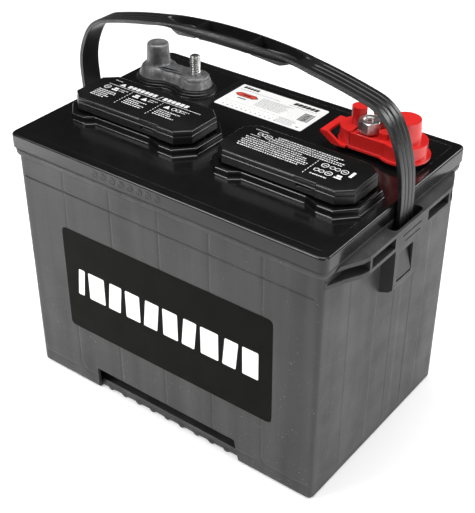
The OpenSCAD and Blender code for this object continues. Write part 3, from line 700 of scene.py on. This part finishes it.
def cap_outline(cx):
    x, y0, y1, bulge = CAP_HALF, CAP_Y0, CAP_Y1, 0.7
    points = [(-x, y0 + 8), (-x + 9, y0), (PRY_X1 - 0.4, y0), (PRY_X1 + 0.4, y0 - bulge),
              (x - 9, y0 - bulge), (x + 0.3, y0 + 8), (x, y1 - 8), (x - 9, y1), (-x + 9, y1), (-x, y1 - 8)]
    radii = [0.8, 0.8, 0, 0.3, 0.8, 0.8, 0.8, 0.8, 0.8, 0.8]
    return Poly([(cx + px, py) for px, py in points], radii, 4)


def make_caps():
    for side, word in ((-1, "left"), (1, "right")):
        cx = side * CAP_X
        body = f"vent_cap_{word}"
        outline = cap_outline(cx)
        tray = loft("tray", outline, [
            (-6.0, 205.0), (-6.0, CAP_Z0), (-0.9, CAP_Z0), (-0.25, 206.7), (0, 207.2), (0, 211.5),
            (-0.15, 211.95), (-0.5, CAP_SEAM), (-2, CAP_SEAM), (-2, 208.5)])
        slot = rect(cx + PRY_X0 + 1.6, CAP_Y0 - 2, cx + PRY_X1 - 3.4, CAP_Y0 + 1.6)
        boolean(tray, [bar(slot, 209.6, 211.8)])
        piece(tray, f"{body}_tray", body, "cap_plastic", CAP, f"{body}_body")
        plate = loft("plate", outline, [
            (-2, CAP_SEAM + 0.9), (-2, CAP_SEAM + 0.1), (-0.65, CAP_SEAM + 0.1), (-0.35, CAP_SEAM + 0.45),
            (-0.35, 214.6), (-0.5, 215.2), (-0.9, 215.7), (-1.45, 215.95), (-2, CAP_Z1)])
        notch = rect(cx + PRY_X0, CAP_Y0 - 3, cx + PRY_X1, CAP_Y0 + 1.3)
        boolean(plate, [bar(notch, 214.3, 218)])
        piece(plate, f"{body}_plate", body, "cap_plastic", CAP, f"{body}_top")
        bm = bmesh.new()
        barrel = [(7.2, 206.4), (9.5, 206.4), (9.5, 197.2), (7.3, 197.2), (7.3, 194.8), (9.5, 194.8),
                  (9.5, 184.8), (9.1, 184.0), (7.2, 184.0)]
        for k in (-1, 0, 1):
            add_lathe(bm, barrel, cx + k * CELL_PITCH, WELL_Y, 48, loop=True)
        made(bm, f"{body}_barrels", body, "cap_plastic", CAP)


# ---- printed marks

class Print:
    """Marks of one ink on a flat face at height z, placed from the corner or centre (cx, cy)."""

    def __init__(self, cx, cy, z, rng, thick=0.06):
        self.cx, self.cy, self.z, self.rng, self.thick = cx, cy, z, rng, thick
        self.bm = bmesh.new()

    def mark(self, outline, thick=None):
        moved = [(self.cx + x, self.cy + y) for x, y in outline]
        add_loft(self.bm, moved, [(0, self.z), (0, self.z + (thick or self.thick))])

    def rule(self, x0, y0, x1, y1, r=0.0):
        self.mark(rect(x0, y0, x1, y1, r, 2))

    def line(self, x0, y, x1, h, gap):
        """A line of small print: a row of short blocks of uneven length."""
        x = x0
        while x < x1:
            w = self.rng.uniform(0.6, 1.5) * h
            self.rule(x, y, min(x + w, x1), y + h)
            x += w + gap * self.rng.uniform(0.7, 1.5)

    def word(self, x0, y, x1, h, slant=0.0, gap=0.35):
        """A heading of plain rounded blocks, leaning by slant."""
        w = 0.78 * h
        x = x0
        while x + w <= x1 + 0.01:
            corners = [(x, y), (x + w, y), (x + w + slant, y + h), (x + slant, y + h)]
            self.mark(rounded(corners, 0.16 * h, 2), 0.04)
            x += w + gap

    def ring(self, cx, cy, r, width, n=20):
        x, y, top = self.cx + cx, self.cy + cy, self.z + self.thick
        outer, inner = circle(x, y, r, n), circle(x, y, r - width, n)
        levels = ((outer, self.z), (outer, top), (inner, top), (inner, self.z))
        rings = [[self.bm.verts.new(place(u, v, w, "XY")) for u, v in points] for points, w in levels]
        skin(self.bm, rings, loop=True)

    def icon(self, cx, cy, kind):
        """Small plain pictograms that mean nothing in particular."""
        if kind == 0:
            self.ring(cx, cy, 2.6, 0.55)
            self.rule(cx - 1.3, cy - 0.3, cx + 1.3, cy + 0.3)
        elif kind == 1:
            self.rule(cx - 2.6, cy - 2.2, cx + 2.6, cy - 0.6, 0.3)
            self.rule(cx - 1.8, cy + 0.1, cx + 1.8, cy + 2.2, 0.3)
        elif kind == 2:
            self.mark([(cx - 2.6, cy - 2), (cx + 2.6, cy - 2), (cx, cy + 2.4)])
        else:
            self.ring(cx - 1.7, cy, 1.9, 0.5)
            self.ring(cx + 2.0, cy, 1.9, 0.5)


def make_left_print(rng):
    """A heading between two rules, over three columns parted by dashed lines."""
    ink = Print(-CAP_X, 0, CAP_Z1 - 0.02, rng)
    ink.rule(-41, -4.5, -34, -4.1)
    ink.rule(-41, -11.2, 42, -10.75)
    ink.icon(-30, -7.6, 2)
    ink.word(-25.5, -9.4, 1.5, 3.9, gap=0.75)
    ink.mark([(2.6, -9.9), (3.2, -9.9), (5.0, -5.0), (4.4, -5.0)])
    ink.word(6.5, -9.4, 29, 3.9, gap=0.75)
    for column, x0 in enumerate((-42, -15, 13)):
        for k in range(2):
            ink.icon(x0 + 4 + 7.5 * k, -15.8, (column + k) % 4)
        ink.line(x0 + 15, -14.9, x0 + 22, 0.8, 0.55)
        ink.line(x0 + 15, -17.1, x0 + 20, 0.8, 0.55)
        for row in range(4 if column else 5):
            ink.line(x0 + 1, -21.8 - 2.3 * row, x0 + rng.uniform(12, 20), 0.95, 0.6)
    for x in (-17.5, 10.5):
        for k in range(8):
            ink.rule(x, -14 - 2.6 * k, x + 0.45, -12.6 - 2.6 * k)
    made(ink.bm, "vent_cap_left_print", "vent_cap_left", "cap_plastic", INK_WHITE)


def make_right_print(rng):
    """Two blocks of lines, and at the right a dashed line with small pictograms."""
    ink = Print(CAP_X, 0, CAP_Z1 - 0.02, rng)
    ink.rule(-42, -5.0, -32, -4.6)
    ink.rule(-41, -12.9, -33, -12.5)
    ink.icon(-34, -8.8, 3)
    ink.icon(-28.5, -9.6, 0)
    for row in range(4):
        ink.line(-23 - row, -6.6 - 2.35 * row, rng.uniform(22, 34), 1.1, 0.55)
    for row in range(6):
        ink.line(-42 + 1.2 * (row % 2), -16.4 - 2.35 * row, rng.uniform(2, 11), 1.0, 0.6)
    for k in range(7):
        ink.rule(14, -17 - 2.8 * k, 14.45, -15.4 - 2.8 * k)
    for k in range(3):
        ink.icon(21 + 7.2 * k, -18.2, (0, 3, 0)[k])
        ink.icon(21 + 7.2 * k, -25.6, (3, 0, 1)[k])
    ink.line(18, -31.8, 30, 1.0, 0.5)
    ink.rule(40, -22, 42.2, -15)
    made(ink.bm, "vent_cap_right_print", "vent_cap_right", "cap_plastic", INK_WHITE)


def make_cap_prints():
    rng = random.Random(11)
    make_left_print(rng)
    make_right_print(rng)


FRONT_LABEL = (-89.8, 51.9, 92.5, 137.6)


def on_front_wall(lift):
    """Leans the XZ drawing plane with the front wall's draft."""
    def move(x, y, z):
        return x, -(WALL_Y - DRAFT * (1 - z / LID_UNDER)) - lift + y, z
    return move


def make_front_label():
    x0, z0, x1, z1 = FRONT_LABEL
    profile = [(0, 0.05), (0, -0.16), (-0.12, -0.2)]
    film = loft("film", rect(x0, z0, x1, z1, 4.2, 6), profile, "XZ", on_front_wall(0.06))
    piece(film, "front_label_film", "battery", "front_print", FILM_BLACK, "front_label")
    bm = bmesh.new()
    x, low, high = -79.0, 84.0, 106.5
    widths = (8, 15, 13.5, 13, 14.5, 13, 13.5, 15, 13.5, 13)
    for k, w in enumerate(widths):
        slant = 0.0 if k % 2 else 2.4
        corners = [(x, low), (x + w - slant, low), (x + w, high), (x + slant, high)]
        add_loft(bm, rounded(corners, 1.1, 4), [(0, 0.0), (0, -0.06)], "XZ", on_front_wall(0.25))
        x += w + 3.2
    made(bm, "front_label_marks", "battery", "front_print", INK_WHITE)


TOP_LABEL = (-46.5, 35.0, 29.2, 72.5)
TOP_PRINT_Z = LID_Z + 0.19


def make_label_marks(rng, w, h):
    """Headings, a bar pattern at the right and two dotted rows along the front edge."""
    ink = Print(*TOP_LABEL[:2], TOP_PRINT_Z, rng, 0.04)
    ink.word(3, h - 5.4, 17.5, 3.1, 0.5)
    ink.word(w - 27.5, h - 6.6, w - 3.5, 4.0, 0.9, 0.4)
    ink.word(9.5, h - 21.6, 17, 1.5, 0.2, 0.25)
    x = w - 12
    while x < w - 4:
        width = rng.choice((0.35, 0.5, 0.8))
        ink.rule(x, 13, x + width, 25)
        x += width + rng.choice((0.25, 0.4))
    ink.rule(w - 6.5, 3.2, w - 4.2, 4.2)
    for k in range(12):
        ink.rule(6 + 4.1 * k, 2.6, 7.1 + 4.1 * k, 3.4)
        ink.rule(7 + 4.1 * k, 5.6, 7.6 + 4.1 * k, 6.1)
    made(ink.bm, "top_label_marks", "battery", "top_print", INK_BLACK)


def make_label_lines(rng, w, h):
    """Small grey print."""
    ink = Print(*TOP_LABEL[:2], TOP_PRINT_Z, rng)
    ink.line(3, h - 8.3, 38, 0.8, 0.5)
    ink.line(w - 29, h - 9.0, w - 5, 0.7, 0.5)
    for row in range(8):
        ink.line(26, h - 12 - 1.75 * row, rng.uniform(47, 54), 0.75, 0.4)
    for row in range(5):
        ink.line(w - 24, 8.6 - 1.6 * row, w - rng.uniform(8, 12), 0.7, 0.4)
    ink.line(4, 9.6, 60, 0.4, 0.5)
    made(ink.bm, "top_label_lines", "battery", "top_print", INK_GREY)


def make_label_badge(cx, cy):
    """A red lozenge with a dark edge and a dark bar, each laid on the one before."""
    layers = (("edge", 10.5, 2.9, INK_BLACK), ("face", 9.6, 2.3, INK_RED), ("bar", 4.6, 0.7, INK_BLACK))
    for k, (name, reach, half, colour) in enumerate(layers):
        ink = Print(cx, cy, TOP_PRINT_Z + 0.04 * k, None, 0.05)
        right = [(0.62 * reach, -half), (reach, 0), (0.62 * reach, half)]
        ink.mark(rounded([(-x, y) for x, y in reversed(right)] + right, 0.3 * half, 2))
        made(ink.bm, "top_label_badge_" + name, "battery", "top_print", colour)


def make_top_label():
    rng = random.Random(5)
    x0, y0, x1, y1 = TOP_LABEL
    profile = [(0, LID_Z - 0.02), (0, LID_Z + 0.14), (-0.1, LID_Z + 0.2)]
    film = loft("film", rect(x0, y0, x1, y1, 1.6, 5), profile)
    piece(film, "top_label_film", "battery", "top_print", FILM_WHITE, "top_label")
    make_label_marks(rng, x1 - x0, y1 - y0)
    make_label_lines(rng, x1 - x0, y1 - y0)
    make_label_badge(x0 + 13.5, y1 - 15)


# ---- terminals

def wobble(depth, seed):
    """Small unevenness of a casting, the same every run."""
    def move(x, y, z):
        w = math.sin(x * 0.9 + seed) * math.sin(y * 1.1 + 2 * seed) * math.sin(z * 0.8 + seed)
        return x + w * depth, y + w * depth, z + w * depth * 0.5
    return move


def thread_radius(root, depth, pitch, z0):
    def radius(r, a, z):
        if r < root:
            return r
        phase = ((z - z0) / pitch - a / (2 * math.pi)) % 1.0
        return r - depth + depth * 2 * min(phase, 1 - phase)
    return radius


STUD_R, STUD_PITCH = 3.97, 1.411


def make_stud(cx, cy, tip, name, node):
    z0 = 213.6
    profile = [(0, 205), (5.5, 205), (5.5, 207.5), (4.1, 207.7), (4.35, 212.0), (4.35, 213.3), (3.9, z0)]
    z = z0 + 0.2
    while z < tip - 0.9:
        profile.append((STUD_R, z))
        z += STUD_PITCH / 7
    profile += [(3.5, tip - 0.6), (3.1, tip - 0.15), (2.6, tip), (0, tip - 0.05)]
    stud = lathe("stud", profile, cx, cy, 40, thread_radius(3.7, 0.62, STUD_PITCH, z0), smooth=30)
    piece(stud, name, "battery", "steel", STEEL, node)


def make_casting(side, stud, name, node, sizes):
    """Base and bridge, tapered post and stud pad, joined as one casting."""
    post_end, stud_end, pad, foot, top = sizes
    post = (side * POST_X, TERM_Y)
    base = loft("base", link(post, stud, post_end, stud_end, 10.3), [
        (-1.0, 203.9), (-0.2, 204.1), (0, 204.5), (-0.35, 205.4), (-1.0, 207.2), (-1.7, 209.2),
        (-2.6, 210.7), (-3.7, 211.7), (-5.0, 212.3), (-6.2, 212.4)], move=wobble(0.12, side))
    column = lathe("column", [
        (0, 206), (post_end - 2.6, 206), (post_end - 2.7, 209.2), (post_end - 3.3, 210.6),
        (foot + 1.6, 211.6), (foot + 0.7, 212.4), (foot + 0.15, 213.4), (foot - 0.15, 214.6),
        (foot - 0.5, 219.0), (top + 0.35, 222.0), (top + 0.1, 226.4), (top - 0.15, 227.4),
        (top - 0.8, 228.0), (top - 1.8, 228.2), (top - 4.2, 227.9), (top - 6.0, 227.5), (0, 227.4)], *post)
    plug = lathe("plug", [(0, 191.4), (9.9, 191.4), (9.9, 207), (0, 207)], *post, 48)
    boss = lathe("boss", [
        (0, 206), (pad + 1.3, 206), (pad + 1.1, 210.0), (pad + 0.7, 211.3), (pad, 211.95),
        (pad - 0.9, 212.15), (5.6, 212.15), (5.0, 212.4), (4.6, 212.4), (4.5, 206.5), (0, 206.4)], *stud)
    piece(joined(name, [base, column, plug, boss]), name, "battery", "lead", LEAD, node)


def make_seal(side, name, node, grow):
    post, stud = (side * POST_X, TERM_Y), (side * STUD_X, TERM_Y)
    outline = link(post, stud, 17.6 + grow[0], 15.3 + grow[1], 12.8 + grow[2], power=7)
    skirt = loft(name, outline, [
        (0.3, 199.95), (0, 200.3), (0, 201.4), (-0.25, 201.9), (-0.7, 202.05), (-0.95, 202.3),
        (-1.0, 203.2), (-1.25, 203.7), (-1.8, 203.95), (-2.6, 204.0), (-5, 204.0)])
    boolean(skirt, [bar(circle(*post, 10.05, 48), 198, 206)])
    piece(skirt, name, "battery", "gasket", SEAL, node)


NEG_STUD, POS_STUD = (-STUD_X, TERM_Y), (69.0, 45.7)


def make_terminals():
    make_seal(-1, "negative_gasket", "negative_seal", (0, 0, 0))
    make_seal(1, "positive_gasket", "positive_seal", (2.7, 1.2, 3.7))
    make_casting(-1, NEG_STUD, "negative_casting", "negative_terminal", (14.9, 12.3, 9.2, 9.0, 8.0))
    make_casting(1, POS_STUD, "positive_casting", "positive_terminal", (13.4, 8.5, 7.0, 9.5, 8.6))
    make_stud(*NEG_STUD, 227.2, "negative_threaded_stud", "negative_stud")
    make_stud(*POS_STUD, 226.0, "positive_threaded_stud", "positive_stud")


# ---- red cover and spare nuts

def make_red_cover():
    node = frame["nodes"]["terminal_cover"]
    cover = bpy.data.objects.new("red_cover", node.data.copy())
    bpy.context.scene.collection.objects.link(cover)
    bm = bmesh.new()
    bm.from_mesh(cover.data)
    bmesh.ops.remove_doubles(bm, verts=bm.verts, dist=1e-6)
    bmesh.ops.dissolve_limit(bm, angle_limit=math.radians(1.0), verts=bm.verts, edges=bm.edges)
    bm.to_mesh(cover.data)
    bm.free()
    soften(cover, 0.45, 3, 35)
    piece(cover, "red_cover", "terminal_cover", "red_plastic", RED, "terminal_cover")


HEX_AT, HEX_Z, HEX_AF, HEX_H, HEX_TURN = (80.6, 39.5), 215.4, 14.3, 8.0, -8.7
WING_AT, WING_Z, WING_TURN = (82.6, 52.2), 215.1, -30.0


def make_hex_nut():
    flat = HEX_AF / 2

    def hexagonal(r, a, z):
        if r < 6.9:
            return r
        d = math.degrees(a) - HEX_TURN
        local = math.radians((d % 60) - 30)
        edge = flat / math.cos(local)
        rise = max(0.0, edge - flat * 0.97) * 0.55
        limit = HEX_Z + HEX_H - rise
        return edge - max(0.0, z - limit) * 1.6 - max(0.0, (HEX_Z + rise * 0.7) - z) * 1.4

    top = HEX_Z + HEX_H
    profile = [(3.45, HEX_Z + 0.3), (4.2, HEX_Z), (6.6, HEX_Z), (7.15, HEX_Z + 0.05), (7.15, HEX_Z + 0.5),
               (7.15, HEX_Z + 1.0)]
    profile += [(7.15, top - 1.2 + 0.15 * k) for k in range(8)]
    profile += [(6.75, top), (4.6, top - 0.02), (4.3, top - 0.1)]
    z = top - 0.9
    k = 0
    while z > HEX_Z + 0.8:
        profile.append((3.45 + (0.35 if k % 2 else 0.0), z))
        z -= 0.7
        k += 1
    nut = lathe("nut", profile, *HEX_AT, 96, hexagonal, smooth=28, loop=True)
    piece(nut, "spare_hex_nut", "stored_hex_nut", "steel", STEEL, "stored_hex_nut")


def make_wing_nut():
    profile = [(3.4, 0), (4.9, 0), (5.2, 0.4), (5.1, 2), (4.7, 5.2), (4.4, 6.3), (4.0, 6.6), (3.7, 6.55),
               (3.4, 6.2), (3.7, 5.4), (3.4, 4.6), (3.7, 3.6), (3.4, 2.6), (3.7, 1.5)]
    hub = lathe("hub", [(r, WING_Z + z) for r, z in profile], *WING_AT, 48, loop=True)
    parts = [hub]
    turn = math.radians(WING_TURN)
    for s in (-1, 1):
        blade = [(3.6, 1.6), (6.5, 2.2), (9.5, 3.4), (11.0, 6.0), (10.8, 9.0), (9.0, 10.6), (7.0, 10.2),
                 (5.4, 8.2), (4.2, 6.0), (3.6, 5.4)]
        outline = [(s * u, WING_Z + v) for u, v in rounded(blade, 2.0, 4)]

        def turned(x, y, z):
            return (WING_AT[0] + x * math.cos(turn) - y * math.sin(turn),
                    WING_AT[1] + x * math.sin(turn) + y * math.cos(turn), z)

        parts.append(loft("blade", outline, soft_slab(-1.1, 1.1, 0.6), "XZ", turned))
    piece(joined("wing", parts), "spare_wing_nut", "stored_wing_nut", "steel", STEEL, "stored_wing_nut")


# ---- handle

STRAP_X, STRAP_T, STRAP_W = 134.2, 3.1, 16.8
CROWN_Z, CROWN_R, SHOULDER_R, HAUNCH_R = 276.0, 412.0, 28.8, 70.0
CROWN_C = CROWN_Z - CROWN_R
HAUNCH_TURN = math.radians(30)
HAUNCH_X = STRAP_X - HAUNCH_R
SHOULDER_X = HAUNCH_X + (HAUNCH_R - SHOULDER_R) * math.cos(HAUNCH_TURN)
SHOULDER_Z = CROWN_C + math.sqrt((CROWN_R - SHOULDER_R) ** 2 - SHOULDER_X ** 2)
HAUNCH_Z = SHOULDER_Z - (HAUNCH_R - SHOULDER_R) * math.sin(HAUNCH_TURN)
SHOULDER_ANGLE = math.atan2(SHOULDER_Z - CROWN_C, SHOULDER_X)
GRIP_UNDER, GRIP_RIM, GRIP_WALL = 265.9, 0.4, 1.9
CROSS_RIBS = (-25.0, 18.0)


def strap_path():
    """Stations (x, z, normal x, normal z) on the outer face, from the right foot over to the left."""
    right = []
    z = 168.0
    while z < HAUNCH_Z - 1:
        right.append((STRAP_X, z, 1.0, 0.0))
        z += 3.0
    for cx, cz, r, a0, a1, n in ((HAUNCH_X, HAUNCH_Z, HAUNCH_R, 0, HAUNCH_TURN, 18),
                                 (SHOULDER_X, SHOULDER_Z, SHOULDER_R, HAUNCH_TURN, SHOULDER_ANGLE, 14)):
        for k in range(0 if a0 == 0 else 1, n + 1):
            a = a0 + (a1 - a0) * k / n
            right.append((cx + r * math.cos(a), cz + r * math.sin(a), math.cos(a), math.sin(a)))
    reach = CROWN_R * math.cos(SHOULDER_ANGLE)
    xs = []
    x = reach - 1.5
    while x > 0.4:
        xs.append(x)
        x -= 0.8 if x < 66 else 1.6
    crown = [(x, CROWN_C + math.sqrt(CROWN_R ** 2 - x * x), x / CROWN_R,
              math.sqrt(1 - (x / CROWN_R) ** 2)) for x in xs]
    half = right + crown
    centre = [(0.0, CROWN_Z, 0.0, 1.0)]
    left = [(-x, z, -nx, nz) for x, z, nx, nz in reversed(half)]
    return half + centre + left


def lean(z):
    """The strap is springy, and stands a little to the left at the top."""
    return -2.2 * smoothstep(z, 196, 236)


def strap_section(x, z):
    """Points (y, height over the outer face) round the section at one station."""
    half = STRAP_W / 2
    grip = 1 - smoothstep(abs(x), 30, 68)
    ribs = smoothstep(abs(x), 60, 70) if z > 169 else smoothstep(z, 165, 169)
    rim = GRIP_RIM * (1 - smoothstep(abs(x), 48, 63))
    pocket = 8.2 * (1 - smoothstep(abs(x), 40, 60))
    for rib in CROSS_RIBS:
        pocket *= smoothstep(abs(x - rib), 0.7, 1.5)
    inner = half - GRIP_WALL - 3.2 * smoothstep(abs(x), 38, 60)
    ys = [-half, -half + 0.15, -half + 0.5, -half + 1.0, -inner - 0.35, -inner, -inner + 0.35]
    ys += [-4.2 + d for d in (-1.15, -0.75, -0.4, 0.4, 0.75, 1.15)]
    ys += [-2.1, -1.15, -0.75, -0.4]
    top = sorted(set(ys + [0.0] + [-y for y in ys]))
    points = []
    for y in top:
        edge = abs(y)
        h = rim
        if edge > half - 0.5:
            h -= 0.5 - math.sqrt(max(0.25 - (edge - half + 0.5) ** 2, 0.0))
        groove = sum(bell(y - g, 0.62) ** 2 for g in (-4.2, 0.0, 4.2))
        h -= 0.75 * min(groove, 1.0) * ribs
        if edge < inner + 0.35:
            h -= pocket * smoothstep(inner + 0.35 - edge, 0.0, 0.7)
        points.append((y, h))
    under = []
    for k in range(21):
        a = math.pi * k / 20
        y = half * math.cos(a)
        round_h = GRIP_UNDER + half - half * math.sin(a) - z
        flat_h = -STRAP_T + 0.5 * (1 - min(1.0, math.sin(a) * 2.4)) ** 2
        under.append((y, round_h * grip + flat_h * (1 - grip)))
    return points + under


def make_handle():
    bm = bmesh.new()
    rings = []
    for x, z, nx, nz in strap_path():
        x0 = x + lean(z)
        section = strap_section(x, z)
        rings.append([bm.verts.new(((x0 + nx * h) * MM, y * MM, (z + nz * h) * MM)) for y, h in section])
    skin(bm, rings)
    parts = [new_object("strap", bm)]
    inner = STRAP_X - STRAP_T
    for s in (-1, 1):
        foot = [(inner, 169), (STRAP_X, 169), (STRAP_X, 164.5), (132.9, 164), (136.2, 146), (135.6, 144),
                (inner, 144)]
        outline = [(s * u, v) for u, v in rounded(foot, [0, 0, 0.4, 0.2, 0.6, 0.4, 0.4], 3)]
        parts.append(loft("foot", outline, soft_slab(-STRAP_W / 2, STRAP_W / 2, 0.3, 2), "XZ"))
    piece(joined("handle", parts), "strap_handle", "handle", "handle_plastic", STRAP, "handle")


# ---- carried-over CAD nodes

def finish_cad_nodes():
    """Gives every CAD node that still shows its own procedural material."""
    chosen = {
        "porous_disc": DISC, "gasket": SEAL, "lead": LEAD, "steel": STEEL, "separator": SEPARATOR,
        "positive_plate": PLATE_POS, "negative_plate": PLATE_NEG}
    slots = {s["node"]: s["material_slot"] for s in frame["record"]["subparts"]}
    for name, obj in frame["nodes"].items():
        mat = chosen.get(slots[name])
        if obj.hide_render or not mat:
            continue
        obj.data.materials.clear()
        obj.data.materials.append(mat)


# ---- stage

CAMERA_AT = (400.647, -526.932, 552.008)
CAMERA_FORWARD = (-0.49953, 0.66002, -0.56111)
CAMERA_LENS = 76.99


def area_light(name, at, target, size, power):
    data = bpy.data.lights.new(name, "AREA")
    data.shape = "RECTANGLE"
    data.size, data.size_y = size
    data.energy = power
    obj = bpy.data.objects.new(name, data)
    obj.location = at
    obj.rotation_euler = (Vector(target) - Vector(at)).to_track_quat("-Z", "Y").to_euler()
    bpy.context.scene.collection.objects.link(obj)
    return obj


def make_camera(scene):
    data = bpy.data.cameras.new("camera")
    data.lens = CAMERA_LENS
    data.sensor_width = 36
    data.clip_start, data.clip_end = 0.05, 30
    camera = bpy.data.objects.new("camera", data)
    camera.location = [c * MM for c in CAMERA_AT]
    camera.rotation_euler = Vector(CAMERA_FORWARD).to_track_quat("-Z", "Y").to_euler()
    scene.collection.objects.link(camera)
    scene.camera = camera


def make_floor():
    """A pale floor, lit from within just enough to stay white under the battery's soft shadow."""
    floor = loft("floor", rect(-6000, -6000, 6000, 6000), [(0, -20), (0, 0)], smooth=0)
    mat, _, bsdf = shader("floor_paper", (0.9, 0.9, 0.9), 0.9, specular=0.0)
    bsdf.inputs["Emission Color"].default_value = (1, 1, 1, 1)
    bsdf.inputs["Emission Strength"].default_value = 0.3
    floor.data.materials.append(mat)


def make_world(scene):
    """Studio surroundings that are brighter in front and above, and dark behind."""
    world = bpy.data.worlds.new("world")
    scene.world = world
    world.use_nodes = True
    tree = world.node_tree
    coord = tree.nodes.new("ShaderNodeTexCoord")
    dot = tree.nodes.new("ShaderNodeVectorMath")
    dot.operation = "DOT_PRODUCT"
    dot.inputs[1].default_value = (0.3, -0.85, 0.45)
    tree.links.new(coord.outputs["Generated"], dot.inputs[0])
    sky = ramp(tree, dot.outputs["Value"], [(0.0, 0.04), (0.35, 0.2), (0.9, 0.3)])
    back = tree.nodes["Background"]
    tree.links.new(sky, back.inputs["Color"])
    back.inputs["Strength"].default_value = 0.7


def make_stage():
    scene = bpy.context.scene
    make_camera(scene)
    make_floor()
    make_world(scene)
    area_light("key", (-0.75, -1.0, 1.25), (0, 0, 0.12), (0.7, 0.7), 15)
    low = area_light("low", (-0.5, -0.5, 0.06), (-0.05, -0.08, 0.1), (0.25, 0.12), 2.6)
    low.visible_glossy = False
    area_light("side", (1.7, -0.1, 0.55), (0.1, 0, 0.1), (0.5, 1.2), 11)
    area_light("rim", (0.9, 1.3, 1.0), (0, 0, 0.2), (1.2, 0.3), 12)
    area_light("top", (0.0, 0.1, 2.0), (0, 0, 0.15), (1.6, 1.2), 30)
    scene.view_settings.view_transform = "Standard"
    scene.view_settings.look = "None"


make_stage()
make_case()
make_ledges()
make_bracket(1, "end_bracket_right", "bracket_right")
make_bracket(-1, "end_bracket_left", "bracket_left")
make_lid()
make_lid_marks()
make_caps()
make_cap_prints()
make_front_label()
make_top_label()
make_terminals()
make_red_cover()
make_hex_nut()
make_wing_nut()
make_handle()
finish_cad_nodes()
